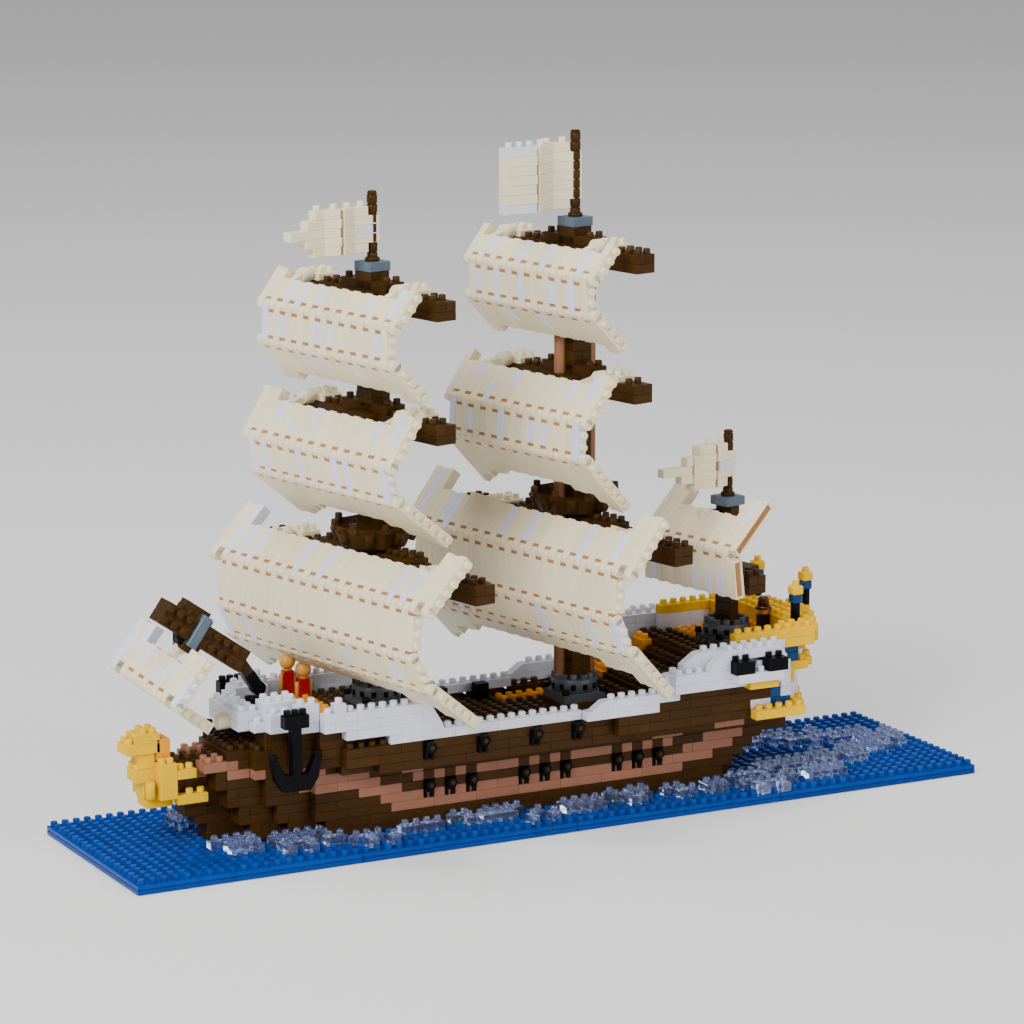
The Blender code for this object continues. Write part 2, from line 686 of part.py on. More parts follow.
BOWSPRIT_FOOT = (24.9, 13.2)
BOWSPRIT_BEND = (26.8, 16.0)
BOWSPRIT_END = (33.1, 20.45)
SPRIT_CLIP = (31.8, 17.3)
SPRIT_YAW = radians(7.5)
SPRIT_ROLL = radians(-10)
SPRIT_SAIL = [(32.0, 18.1), (34.7, 14.4), (30.5, 11.23)]
SPRIT_HALF = 5.3
SPRIT_PIN_R = 0.42
# the notch in the middle of the sail's head: half width, depth down the sail; the neck's end ahead and up
SPRIT_NOTCH = (3.4, 2.3)
SPRIT_NECK = (1.5, -1.6)


def build_bowsprit():
    empty = bpy.data.objects.new("bowsprit_axis", None)
    ship.objects.link(empty)
    foot = Vector(BOWSPRIT_FOOT)
    empty.location = (along(foot.x), 0.0, foot.y * PITCH)
    bend = Vector(BOWSPRIT_BEND) - foot
    end = Vector(BOWSPRIT_END) - foot
    arm_turn = atan2(bend.y, bend.x)
    beam = end - bend
    beam_turn = atan2(beam.y, beam.x)
    arm = new_box(
        ((bend.length + 0.5) * PITCH, 1.0 * PITCH, 1.0 * PITCH),
        (bend.x / 2 * PITCH, 0, bend.y / 2 * PITCH),
        Matrix.Rotation(-arm_turn, 4, "Y"),
    )
    spar = new_box(
        ((beam.length + 1.0) * PITCH, 2.0 * PITCH, 2.0 * PITCH),
        ((bend.x + beam.x / 2) * PITCH, 0, (bend.y + beam.y / 2) * PITCH),
        Matrix.Rotation(-beam_turn, 4, "Y"),
    )
    hub = new_round(0.6 * PITCH, 1.0 * PITCH, "Y", (0, 0, 0))
    clip = Vector(SPRIT_CLIP) - foot
    hanger_z = (clip.y + SPRIT_PIN_R + 2 * KNUCKLE_GAP + 1.2) * PITCH
    hanger = new_box((0.9 * PITCH, 1.0 * PITCH, 2.4 * PITCH), (clip.x * PITCH, 0, hanger_z))
    link(joined("bowsprit", [arm, spar, hub, hanger]), "dark_brown", empty)
    step = [
        studs_box((0, 2), (-1, 1), (0, 1.6)),
        studs_box((0.3, 1.5), (-0.5, 0.5), (1.5, 2.12)),
    ]
    hinge = joined("bowsprit_step", step)
    link(hinge, "black").location = (along(24), 0.0, level(12))


def build_spritsail():
    empty = bpy.data.objects.new("spritsail_axis", None)
    ship.objects.link(empty)
    clip = Vector(SPRIT_CLIP)
    empty.location = (along(clip.x), 0.0, clip.y * PITCH)
    empty.rotation_euler = (SPRIT_ROLL, 0.0, SPRIT_YAW)
    line = [Vector(point) - clip for point in SPRIT_SAIL]
    band = mesh_of(flat_curve("band", [scaled(ribbon(line, SAIL_THICK))], SPRIT_HALF * PITCH))
    notched = mesh_from(joined("cut_band", [band], [edge_cut(line[0], line[1], *SPRIT_NOTCH)]))
    pin = new_round(SPRIT_PIN_R * PITCH, 0.9 * PITCH, "Y", (0, 0, 0))
    ahead, up = SPRIT_NECK
    turn = Matrix.Rotation(-atan2(up, ahead), 4, "Y")
    size = (Vector(SPRIT_NECK).length * PITCH, 0.7 * PITCH, 0.7 * PITCH)
    neck = new_box(size, (ahead / 2 * PITCH, 0, up / 2 * PITCH), turn)
    link(joined("spritsail", [notched, pin, neck]), "cream", empty)


clear_scene()
ship = bpy.data.collections.new("sailing_ship")
bpy.context.scene.collection.children.link(ship)
materials = make_materials()
build_sea()
build_hull()
build_bulwarks()
build_stern()
build_bow()
build_anchors()
build_figures()
build_masts()
build_bowsprit()
build_spritsail()
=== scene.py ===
"""Looks of the brick sailing ship: its bricks, studs, slots and stripes, plastics, studio and camera.

Shapes are laid out in studs, as in the CAD part: x along the ship from the middle of the sea plates,
with +x to the bow, y to port, and levels in brick courses above the sea plates. Each mast has a frame
of its own: ahead of the yards, along them to port, and up from the floor, all in studs.
"""

import random
from itertools import product
from math import atan2, cos, pi, radians, sin

import bmesh
import bpy
from mathutils import Matrix, Vector


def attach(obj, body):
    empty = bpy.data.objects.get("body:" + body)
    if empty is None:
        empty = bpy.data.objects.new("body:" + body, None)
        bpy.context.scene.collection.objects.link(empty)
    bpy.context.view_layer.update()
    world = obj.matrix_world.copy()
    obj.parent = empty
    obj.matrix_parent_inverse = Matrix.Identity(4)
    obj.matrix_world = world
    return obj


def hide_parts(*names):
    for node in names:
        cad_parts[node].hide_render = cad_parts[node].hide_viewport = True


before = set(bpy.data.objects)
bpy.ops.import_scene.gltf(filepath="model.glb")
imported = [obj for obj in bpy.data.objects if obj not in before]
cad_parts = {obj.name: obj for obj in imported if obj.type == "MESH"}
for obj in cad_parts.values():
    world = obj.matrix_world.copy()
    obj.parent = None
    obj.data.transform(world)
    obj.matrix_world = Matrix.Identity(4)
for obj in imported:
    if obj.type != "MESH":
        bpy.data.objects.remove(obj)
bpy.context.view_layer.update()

# From stud to stud, in metres. All other lengths are in studs, if nothing else is said.
PITCH = 0.0040
# A brick course, and the sea plates with their studs' foot
HIGH = 0.8
# The main mast, which stands on the part's origin
MAIN_X = -5.0
# How far the yards are braced round
BRACE = radians(12.5)
STUD_R = 0.31
STUD_HIGH = 0.44
STUD_RIM = 0.05
# Half the gap between two bricks, and the whole of it
SEAM = 0.006
GAP = 2 * SEAM
# A brick's softened edges
SOFT = 0.03
# How much the tint differs from brick to brick
TINT = 0.35

dice = random.Random(7)


def height(level):
    """Height above the floor of a brick course level."""
    return HIGH + HIGH * level


def heights(low, high):
    return height(low), height(high)


def about(middle, half):
    return middle - half, middle + half


def link(obj):
    bpy.context.scene.collection.objects.link(obj)


# Plastics

FLOW_SCALE = 260.0
GRAIN_SCALE = 1500.0
PLASTIC_IOR = 1.52
BUMP_STRENGTH = 0.12
BUMP_METRES = 0.0001


def set_inputs(node, values):
    for socket, value in values.items():
        node.inputs[socket].default_value = value


def moulded(name, colour, rough, fleck, through, gloss_level):
    """A moulded plastic: a base colour that differs a little from brick to brick and across each brick,
    faint flow marks and a fine grain in the gloss."""
    material = bpy.data.materials.new(name)
    material.use_nodes = True
    nodes = material.node_tree.nodes
    links = material.node_tree.links
    shader = nodes["Principled BSDF"]
    set_inputs(shader, {"Metallic": 0.0, "IOR": PLASTIC_IOR})
    set_inputs(shader, {"Transmission Weight": through, "Specular IOR Level": gloss_level})
    place = nodes.new("ShaderNodeTexCoord")
    flow = nodes.new("ShaderNodeTexNoise")
    set_inputs(flow, {"Scale": FLOW_SCALE, "Detail": 4.0})
    links.new(place.outputs["Object"], flow.inputs["Vector"])
    tint = nodes.new("ShaderNodeAttribute")
    tint.attribute_name = "tint"
    both = nodes.new("ShaderNodeMath")
    both.operation = "ADD"
    links.new(flow.outputs["Fac"], both.inputs[0])
    links.new(tint.outputs["Fac"], both.inputs[1])
    ramp = nodes.new("ShaderNodeValToRGB")
    dark, light = ramp.color_ramp.elements
    dark.position = 0.2
    dark.color = [c * (1 - fleck) for c in colour] + [1]
    light.position = 1.0
    light.color = [min(1, c * (1 + fleck)) for c in colour] + [1]
    links.new(both.outputs["Value"], ramp.inputs["Fac"])
    links.new(ramp.outputs["Color"], shader.inputs["Base Color"])
    grain = nodes.new("ShaderNodeTexNoise")
    set_inputs(grain, {"Scale": GRAIN_SCALE, "Detail": 3.0})
    links.new(place.outputs["Object"], grain.inputs["Vector"])
    gloss = nodes.new("ShaderNodeMapRange")
    set_inputs(gloss, {"To Min": rough * 0.8, "To Max": rough * 1.3})
    links.new(grain.outputs["Fac"], gloss.inputs["Value"])
    links.new(gloss.outputs["Result"], shader.inputs["Roughness"])
    relief = nodes.new("ShaderNodeBump")
    set_inputs(relief, {"Strength": BUMP_STRENGTH, "Distance": BUMP_METRES})
    links.new(flow.outputs["Fac"], relief.inputs["Height"])
    links.new(relief.outputs["Normal"], shader.inputs["Normal"])
    return material


PLASTICS = {
    # finish: (red, green, blue), roughness, fleck, light let through, strength of the gloss
    "sea_blue": ((0.0, 0.042, 0.26), 0.2, 0.2, 0.0, 0.08),
    "clear": ((0.60, 0.70, 1.0), 0.03, 0.05, 0.95, 0.3),
    "dark_brown": ((0.048, 0.021, 0.004), 0.34, 0.14, 0.0, 0.08),
    "red_brown": ((0.30, 0.125, 0.075), 0.34, 0.10, 0.0, 0.15),
    # painted sheen: a lighter brown for the lit edges of the main column
    "painted_sheen_brown": ((0.26, 0.115, 0.055), 0.34, 0.10, 0.0, 0.15),
    "white": ((0.65, 0.68, 0.78), 0.24, 0.03, 0.0, 0.25),
    "stripe_white": ((0.70, 0.72, 0.92), 0.2, 0.03, 0.0, 0.3),
    "cream": ((0.84, 0.73, 0.50), 0.34, 0.04, 0.0, 0.2),
    # painted shade: the brown that stands for the shade in the slots and channels of sails and flags
    "painted_shade_brown": ((0.42, 0.19, 0.07), 0.5, 0.15, 0.0, 0.15),
    "yellow": ((0.80, 0.47, 0.0), 0.36, 0.05, 0.0, 0.04),
    "golden": ((0.78, 0.30, 0.01), 0.30, 0.08, 0.0, 0.12),
    "skin": ((0.70, 0.33, 0.06), 0.25, 0.04, 0.0, 0.2),
    "red": ((0.36, 0.005, 0.006), 0.25, 0.06, 0.0, 0.25),
    "navy": ((0.006, 0.008, 0.03), 0.3, 0.1, 0.0, 0.25),
    "hat_brown": ((0.075, 0.018, 0.005), 0.18, 0.08, 0.0, 0.25),
    "window_blue": ((0.002, 0.045, 0.16), 0.16, 0.25, 0.0, 0.15),
    "dark_grey": ((0.060, 0.068, 0.075), 0.34, 0.10, 0.0, 0.25),
    "blue_grey": ((0.085, 0.125, 0.17), 0.32, 0.08, 0.0, 0.25),
    "black": ((0.003, 0.003, 0.004), 0.34, 0.2, 0.0, 0.06),
}
plastics = {name: moulded(name, *row) for name, row in PLASTICS.items()}


# Shapes that are used again and again, each made once

def once(make):
    """Makes a shape once for each set of sizes, to a thousandth of a stud."""
    made = {}

    def shape(*sizes):
        key = tuple(round(size, 3) if isinstance(size, float) else size for size in sizes)
        if key not in made:
            made[key] = make(*sizes)
        return made[key]

    return shape


def soften(bm, edges, offset):
    bmesh.ops.bevel(bm, geom=edges, offset=offset, segments=1, profile=0.5, affect="EDGES", material=-1)


def finished(bm, round_sides=False):
    """The mesh of a shape, shaded smooth around its sides if told so."""
    mesh = bpy.data.meshes.new("shape")
    for face in bm.faces:
        face.smooth = round_sides and len(face.verts) == 4
    bm.to_mesh(mesh)
    bm.free()
    mesh.attributes.new("tint", "FLOAT", "FACE")
    return mesh


@once
def block(x, y, z, soft=SOFT):
    """A brick of the given size about its middle, with softened edges."""
    bm = bmesh.new()
    bmesh.ops.create_cube(bm, size=1.0)
    bmesh.ops.scale(bm, vec=(x, y, z), verts=bm.verts)
    soften(bm, bm.edges[:], soft)
    return finished(bm)


@once
def drum(radius, high, sides=12, soft=SOFT, top=None):
    """A round brick that stands on the origin, narrower or wider at its top if told so."""
    bm = bmesh.new()
    top = radius if top is None else top
    bmesh.ops.create_cone(bm, cap_ends=True, segments=sides, radius1=radius, radius2=top, depth=high)
    bmesh.ops.translate(bm, vec=(0, 0, high / 2), verts=bm.verts)
    soften(bm, [edge for edge in bm.edges if abs(edge.verts[0].co.z - edge.verts[1].co.z) < 1e-5], soft)
    return finished(bm, True)


@once
def stud_shape(hollow=False):
    """A stud that stands on the origin, with a softened rim, and a dimple if hollow."""
    bm = bmesh.new()
    bmesh.ops.create_cone(bm, cap_ends=True, segments=12, radius1=STUD_R, radius2=STUD_R, depth=STUD_HIGH)
    bmesh.ops.translate(bm, vec=(0, 0, STUD_HIGH / 2), verts=bm.verts)
    foot = [face for face in bm.faces if face.normal.z < -0.9]
    bmesh.ops.delete(bm, geom=foot, context="FACES_ONLY")
    soften(bm, [edge for edge in bm.edges if min(v.co.z for v in edge.verts) > STUD_HIGH - 1e-4], STUD_RIM)
    if hollow:
        top = [face for face in bm.faces if face.normal.z > 0.99]
        bmesh.ops.inset_region(bm, faces=top, thickness=0.09)
        bmesh.ops.translate(bm, vec=(0, 0, -0.08), verts=list({v for face in top for v in face.verts}))
    return finished(bm, True)


@once
def ball(radius):
    bm = bmesh.new()
    bmesh.ops.create_uvsphere(bm, u_segments=20, v_segments=12, radius=radius)
    return finished(bm, True)


@once
def prism(outline, thick):
    """A flat brick cut to an outline in x and z, thick along y, about y = 0."""
    bm = bmesh.new()
    face = bm.faces.new([bm.verts.new((x, -thick / 2, z)) for x, z in outline])
    grown = bmesh.ops.extrude_face_region(bm, geom=[face])
    far = [item for item in grown["geom"] if isinstance(item, bmesh.types.BMVert)]
    bmesh.ops.translate(bm, vec=(0, thick, 0), verts=far)
    bmesh.ops.recalc_face_normals(bm, faces=bm.faces)
    soften(bm, bm.edges[:], SOFT)
    return finished(bm)


def at(x, y, z):
    return Matrix.Translation((x, y, z))


def direction(degrees):
    return Vector((cos(radians(degrees)), sin(radians(degrees))))


def along(way):
    """Turns a shape's x along a way that is given ahead and up."""
    return Matrix.Rotation(-atan2(way.y, way.x), 4, "Y")


def ship_place(x, z=0):
    """Sets studs about a point of the ship in their place in metres."""
    return Matrix.Scale(PITCH, 4) @ at(x - MAIN_X, 0, z)


# Lay an upright shape down to one side or ahead
TO_PORT = Matrix.Rotation(-pi / 2, 4, "X")
TO_STARBOARD = Matrix.Rotation(pi / 2, 4, "X")
AHEAD = Matrix.Rotation(pi / 2, 4, "Y")


class Piece:
    """One finished piece, put together from shapes in studs and then set in its place in metres."""

    def __init__(self, name):
        self.name = name
        self.bm = bmesh.new()
        self.finishes = []

    def add(self, shape, place, finish):
        if finish not in self.finishes:
            self.finishes.append(finish)
        placed = shape.copy()
        placed.transform(place)
        count = len(placed.polygons)
        placed.polygons.foreach_set("material_index", [self.finishes.index(finish)] * count)
        placed.attributes["tint"].data.foreach_set("value", [dice.uniform(-TINT, TINT)] * count)
        self.bm.from_mesh(placed)
        bpy.data.meshes.remove(placed)

    def brick(self, x, y, z, finish):
        """A brick between (low, high) pairs."""
        size = [high - low - GAP for low, high in (x, y, z)]
        middle = [(low + high) / 2 for low, high in (x, y, z)]
        self.add(block(*size), at(*middle), finish)

    def stud(self, x, y, z, finish):
        self.add(stud_shape(), at(x, y, z), finish)

    def done(self, body, nodes, place=ship_place(0)):
        self.bm.transform(place)
        mesh = bpy.data.meshes.new(self.name)
        self.bm.to_mesh(mesh)
        self.bm.free()
        for finish in self.finishes:
            mesh.materials.append(plastics[finish])
        obj = bpy.data.objects.new(self.name, mesh)
        link(obj)
        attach(obj, body)
        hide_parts(*nodes)


# Bricks laid in courses on the stud grid: each cell's piece and finish, by x, y and level

grid = {}
LONGEST = 4


def cells(x, y, levels):
    """The cells between (low, high) pairs."""
    return product(range(*x), range(*y), range(*levels))


def lay(name, finish, x, y, levels):
    """Gives whole cells to a piece."""
    for cell in cells(x, y, levels):
        grid[cell] = (name, finish)


def lay_both(name, finish, x, y, levels):
    """The same on the port side and, mirrored, on the starboard side."""
    lay(name, finish, x, y, levels)
    lay(name, finish, x, (-y[1], -y[0]), levels)


def clear(x, y, levels):
    for cell in cells(x, y, levels):
        grid.pop(cell, None)


def open_cell(x, y, level):
    """True where a cell shows on any of its sides."""
    around = ((1, 0, 0), (-1, 0, 0), (0, 1, 0), (0, -1, 0), (0, 0, 1), (0, 0, -1))
    return any((x + dx, y + dy, level + dz) not in grid for dx, dy, dz in around)


def build_courses(name, piece):
    """Covers the cells of a piece with bricks of up to 4 by 2 studs, joints broken from course to course,
    and puts a stud on each cell that nothing covers."""
    own = {cell: finish for cell, (owner, finish) in grid.items() if owner == name}
    used = set()
    for x, y, level in sorted(own, key=lambda cell: (cell[2], cell[1], cell[0])):
        if (x, y, level) in used or not open_cell(x, y, level):
            continue
        finish = own[x, y, level]

        def free(cell):
            return cell not in used and own.get(cell) == finish

        reach = LONGEST if (x + 2 * level + y) % 4 != 1 else 2
        long = 1
        while long < reach and free((x + long, y, level)):
            long += 1
        wide = 2 if all(free((x + dx, y + 1, level)) for dx in range(long)) else 1
        used.update(cells((x, x + long), (y, y + wide), (level, level + 1)))
        piece.brick((x, x + long), (y, y + wide), heights(level, level + 1), finish)
    for (x, y, level), finish in own.items():
        if (x, y, level + 1) not in grid:
            piece.stud(x + 0.5, y + 0.5, height(level + 1), finish)


HULL_PLAN = {
    # level: stepped plan (from x, to x, half width)
    0: ((-19, -17, 3), (-17, 21, 5), (21, 24, 4), (24, 27, 3), (27, 30, 1)),
    1: ((-19, -17, 3), (-17, 21, 5), (21, 24, 4), (24, 27, 3), (27, 30, 1)),
    2: ((-20, -18, 3), (-18, 22, 5), (22, 25, 4), (25, 28, 3), (28, 31, 1)),
    3: ((-21, -19, 3), (-19, 22, 5), (22, 25, 4), (25, 28, 3), (28, 32, 1)),
    4: ((-22, -20, 3), (-20, 22, 5), (22, 26, 4), (26, 29, 3), (29, 32, 1)),
    5: ((-24, -21, 4), (-21, 22, 5), (22, 26, 4), (26, 29, 3), (29, 33, 1)),
    6: ((-24, -21, 4), (-21, 22, 5), (22, 26, 4), (26, 30, 3), (30, 33, 1)),
    7: (
        (-26, -25, 2), (-25, -24, 4), (-24, -22, 6), (-22, 17, 7), (17, 20, 6),
        (20, 23, 5), (23, 27, 4), (27, 30, 3), (30, 33, 1),
    ),
    8: ((-22, -5, 8), (-5, 20, 7), (20, 22, 6), (22, 24, 5), (24, 27, 4), (27, 31, 3), (31, 33, 1)),
    9: ((-22, -5, 8), (-5, 20, 7), (20, 22, 6), (22, 24, 5), (24, 27, 4), (27, 29, 3)),
}
RED_BRICKS = [
    # from x, to x, level: red-brown bricks in the hull's sides
    (-13, 15, 2), (-16, 16, 3), (14, 18, 4), (-18, -13, 4), (16, 23, 5),
    (-12, 13, 5), (-19, -15, 5), (17, 22, 6), (12, 14, 6), (-13, -10, 6),
    (21, 23, 7), (26, 29, 7), (30, 32, 7), (-18, -15, 7), (28, 31, 8),
]
LOWER_GUNS = (7, 9, 11, -2, 0, 2, -11, -9, -7)
UPPER_GUNS = (12, 7, 2, -2, -6)
DECK_GUNS = (1.5, 5.5)


def hull_piece(level):
    return "lower_hull" if level < 7 else "upper_hull"


def half_width(level, x):
    for from_x, to_x, half in HULL_PLAN[level]:
        if from_x <= x < to_x:
            return half
    return 0


def lay_hull():
    for level, plan in HULL_PLAN.items():
        for from_x, to_x, half in plan:
            lay(hull_piece(level), "dark_brown", (from_x, to_x), (-half, half), (level, level + 1))
    clear((-9, 11), (-6, 6), (9, 10))
    for from_x, to_x, level in RED_BRICKS:
        for x in range(from_x, to_x):
            half = half_width(level, x)
            if half:
                skin = (max(0, half - 2), half)
                lay_both(hull_piece(level), "red_brown", (x, x + 1), skin, (level, level + 1))
    for x in LOWER_GUNS:
        lay_both("lower_hull", "dark_brown", (x, x + 1), (3, 5), (5, 6))
        for side in (4, -5):
            clear((x, x + 1), (side, side + 1), (3, 5))
    for x in UPPER_GUNS:
        for side in (6, -7):
            clear((x, x + 1), (side, side + 1), (8, 10))


def lay_decks():
    for x in (7, 2):
        lay("upper_hull", "golden", (x, x + 4), (4, 6), (8, 9))
    lay("upper_hull", "golden", (-5, 0), (-6, -4), (8, 9))
    for from_x, to_x, half in ((11, 22, 6), (22, 24, 5), (24, 26, 4)):
        lay("forecastle", "dark_brown", (from_x, to_x), (-half, half), (10, 12))
    lay("forecastle", "golden", (18, 20), (-6, 6), (11, 12))
    lay("forecastle", "golden", (11, 12), (-6, 6), (10, 12))
    lay("quarter_deck", "dark_brown", (-22, -11), (-7, 7), (10, 12))
    lay_both("quarter_deck", "golden", (-12, -10), (4, 7), (10, 11))
    lay_both("quarter_deck", "golden", (-12, -11), (4, 7), (11, 12))
    lay("quarter_deck", "dark_brown", (-11, -10), (-4, 4), (10, 11))
    lay_both("quarter_deck", "dark_brown", (-22, -9), (7, 8), (10, 11))
    lay_both("quarter_deck", "dark_brown", (-22, -11), (7, 8), (11, 12))
    lay("poop_deck", "dark_brown", (-18, -15), (-7, 7), (12, 14))
    lay("poop_deck", "golden", (-22, -18), (-7, 7), (12, 14))
    lay("poop_deck", "dark_brown", (-15, -14), (-6, 6), (12, 13))
    lay("poop_deck", "golden", (-15, -14), (-6, -4), (12, 14))


RAIL_BRICKS = [
    # from x, to x, inner y, outer y, from level, to level
    (-2, 16, 6, 7, 10, 11),
    (13, 19, 6, 7, 11, 14),
    (16, 20, 6, 7, 11, 12),
    (-9, -4, 7, 8, 10, 12),
    (-11, -9, 7, 8, 11, 12),
    (-22, -10, 7, 8, 12, 14),
    (-21, -13, 7, 8, 14, 16),
    (-21, -10, 8, 9, 12, 14),
    (-17, -15, 8, 9, 15, 16),
    (-20, -15, 8, 9, 15, 16),
    (-16, -15, 8, 9, 14, 15),
    (-20, -19, 8, 9, 14, 16),
]
RAIL_SLOPES = [
    # outline in x and level, inner y, outer y
    (((11, 11), (13, 11), (13, 14), (12.5, 13.9), (12.0, 13.3), (11.2, 11.7)), 6, 7),
    (((-2, 10), (-4, 10), (-4, 12), (-3.6, 11.95), (-2.6, 11.1), (-2, 11)), 7, 8),
    (((-8.8, 12), (-10, 12), (-10, 14), (-9.7, 13.9), (-8.9, 12.8)), 7, 8),
    (((-11.2, 14), (-13, 14), (-13, 16), (-12.6, 15.9), (-11.3, 14.8)), 7, 8),
    (((-13.4, 14), (-15, 14), (-15, 16), (-14.7, 15.9), (-13.5, 14.6)), 8, 9),
    (((-20, 14), (-20, 16), (-20.3, 15.9), (-21, 15), (-21, 14)), 8, 9),
]


def lay_bulwarks():
    for from_x, to_x, inner, outer, low, high in RAIL_BRICKS:
        lay("bulwark_port", "white", (from_x, to_x), (inner, outer), (low, high))
        lay("bulwark_starboard", "white", (from_x, to_x), (-outer, -inner), (low, high))


BOW_BRICKS = [
    # from x, to x, outer half width, inner half width, from level, to level
    (19, 22, 7, 6, 12, 14),
    (22, 24, 6, 5, 12, 15),
    (24, 26, 5, 4, 12, 14),
    (25, 27, 4, 3, 12, 13),
    (26, 28, 3, 0, 12, 14),
    (23, 26, 4, 2, 12, 15),
]


def lay_bow():
    for from_x, to_x, outer, inner, low, high in BOW_BRICKS:
        lay_both("bow_wall", "white", (from_x, to_x), (inner, outer), (low, high))
    lay("bow_wall", "white", (20, 21), (6, 7), (14, 15))


STERN_BRICKS = [
    # piece, rows of (finish, from x, to x, half width, from level, to level)
    ("stern_ledge", [
        ("yellow", -23, -22, 9, 8, 9), ("yellow", -24, -23, 7, 8, 9), ("yellow", -25, -24, 5, 8, 9),
        ("yellow", -26, -25, 3, 8, 9), ("yellow", -27, -26, 1, 8, 9),
    ]),
    ("stern_windows", [
        ("white", -23, -22, 7, 9, 12), ("white", -24, -23, 6, 9, 12), ("window_blue", -24, -23, 4, 9, 12),
        ("white", -25, -24, 4, 9, 12), ("window_blue", -25, -24, 2, 9, 12),
    ]),
    ("stern_moulding", [
        ("yellow", -23, -22, 7, 11, 13), ("yellow", -24, -23, 6, 12, 13), ("yellow", -25, -24, 6, 12, 13),
        ("yellow", -26, -25, 5, 12, 13), ("yellow", -27, -26, 3, 12, 13),
    ]),
    ("stern_windows", [
        ("window_blue", -24, -22, 6, 13, 15), ("white", -25, -24, 5, 13, 15),
        ("window_blue", -25, -24, 3, 13, 15), ("white", -26, -25, 3, 13, 15),
    ]),
    ("poop_rail", [
        ("yellow", -25, -22, 7, 15, 17), ("yellow", -26, -25, 6, 15, 17), ("yellow", -27, -26, 4, 15, 17),
        ("yellow", -28, -27, 2, 15, 17),
    ]),
]


def lay_stern():
    for name, rows in STERN_BRICKS:
        for finish, from_x, to_x, half, low, high in rows:
            lay(name, finish, (from_x, to_x), (-half, half), (low, high))
    lay_both("stern_ledge", "yellow", (-22, -18), (8, 9), (8, 9))
    lay_both("upper_hull", "window_blue", (-22, -20), (7, 8), (9, 10))
    lay_both("upper_hull", "white", (-20, -18), (7, 8), (9, 10))
    lay_both("quarter_deck", "window_blue", (-21, -20), (6, 8), (10, 12))
    lay_both("quarter_deck", "white", (-22, -21), (6, 8), (10, 12))
    clear((-24, -22), (-5, 5), (15, 17))
    lay("poop_rail", "golden", (-25, -22), (-5, 5), (14, 15))
    lay_both("poop_rail", "white", (-22, -17), (6, 7), (14, 16))
    lay_both("poop_rail", "yellow", (-22, -17), (6, 7), (16, 17))


FOAM = [
    # from x, to x, from y, to y
    (27, 31, 3, 6), (21, 26, 4, 6), (23, 26, 6, 8), (20, 22, 6, 7), (16, 20, 7, 9), (11, 15, 6, 7),
    (3, 11, 5, 6), (4, 9, 6, 7), (1, 4, 7, 9), (-4, 0, 6, 8), (-9, -5, 5, 8), (-16, -10, 6, 8),
    (-22, -18, 8, 10), (-23, -17, 5, 8), (-28, -24, 6, 8), (-26, -21, 3, 5), (-32, -26, 2, 5),
    (-36, -30, 1, 3), (-38, -34, 0, 2),
]
FOAM_SHARE = 0.8


def lay_foam():
    """Clear bricks on about four cells in five of the foam, at both sides."""
    for from_x, to_x, from_y, to_y in FOAM:
        for x, y in product(range(from_x, to_x), range(from_y, to_y)):
            name = "bow_wave" if x > 0 else "wake"
            for side_y in (y, -y - 1):
                if (x, side_y, 0) not in grid and dice.random() < FOAM_SHARE:
                    grid[x, side_y, 0] = (name, "clear")


PLATE_STUDS = 20
PLATE_LONG = 19.94
PLATE_WIDE = 19.96
# Foot and top of the two sheets that each sea plate shows
PLATE_SHEETS = ((0.0, 0.36), (0.40, 0.74))
PLATE_TOP = 0.74


def build_sea():
    for number in range(4):
        low = PLATE_STUDS * (number - 2)
        plate = Piece(f"sea_{number + 1}")
        for foot, top in PLATE_SHEETS:
            sheet = block(PLATE_LONG, PLATE_WIDE, top - foot)
            plate.add(sheet, at(low + PLATE_STUDS / 2, 0, (foot + top) / 2), "sea_blue")
        for x, y in product(range(low, low + PLATE_STUDS), range(-10, 10)):
            if (x, y, 0) not in grid:
                plate.stud(x + 0.5, y + 0.5, PLATE_TOP, "sea_blue")
        plate.done("hull", [f"sea_plate_{number + 1}"])


def add_gun(piece, x, y, side, z, wide):
    """A round barrel on a forked carriage, pointing out to one side."""
    way = TO_PORT if side > 0 else TO_STARBOARD
    piece.add(drum(0.34, 1.5, 14, 0.05), at(x, y, z) @ way, "black")
    piece.add(drum(0.45 * wide, 0.42, 14, 0.06), at(x, y + side * 1.1, z) @ way, "black")
    # A dark disc on the barrel's mouth: painted shade of its bore
    piece.add(drum(0.2, 0.04, 10, 0.01), at(x, y + side * 1.52, z) @ way, "dark_brown")
    piece.brick(about(x, 0.36), sorted((y, y + side * 0.9)), (z - 0.7, z - 0.2), "black")
    fork = sorted((y + side * 0.6, y + side * 1.0))
    for leg in (-0.26, 0.26):
        piece.brick(about(x + leg, 0.12), fork, (z - 1.15, z), "black")


def build_hull():
    lower = Piece("lower_hull")
    build_courses("lower_hull", lower)
    for x, side in product(LOWER_GUNS, (-1, 1)):
        add_gun(lower, x + 0.5, side * 4.0, side, height(4.45), 1.0)
    lower.done("hull", [f"hull_course_{number}" for number in range(1, 7)])
    upper = Piece("upper_hull")
    build_courses("upper_hull", upper)
    for x, side in product(UPPER_GUNS, (-1, 1)):
        add_gun(upper, x + 0.5, side * 6.2, side, height(9.3), 1.1)
    for x in DECK_GUNS:
        upper.add(drum(0.5, 1.6, 14), at(x, -4.3, height(9) + 1.1) @ TO_STARBOARD, "black")
        upper.brick(about(x, 0.6), (-5.6, -4.6), heights(9, 11.2), "black")
    upper.done("hull", ["hull_course_7", "hull_course_8", "gun_wall_course"])


COURSE_PIECES = [
    # piece, slot, the node that it stands for
    ("forecastle", "golden", "forecastle_deck"),
    ("quarter_deck", "golden", "quarter_deck"),
    ("poop_deck", "golden", "poop_deck"),
    ("bow_wall", "white", "bow_wall"),
    ("stern_windows", "window_blue", "stern_windows"),
    ("stern_moulding", "yellow", "stern_moulding"),
    ("stern_ledge", "yellow", "stern_ledge"),
    ("bow_wave", "foam", "bow_wave"),
    ("wake", "foam", "wake"),
]


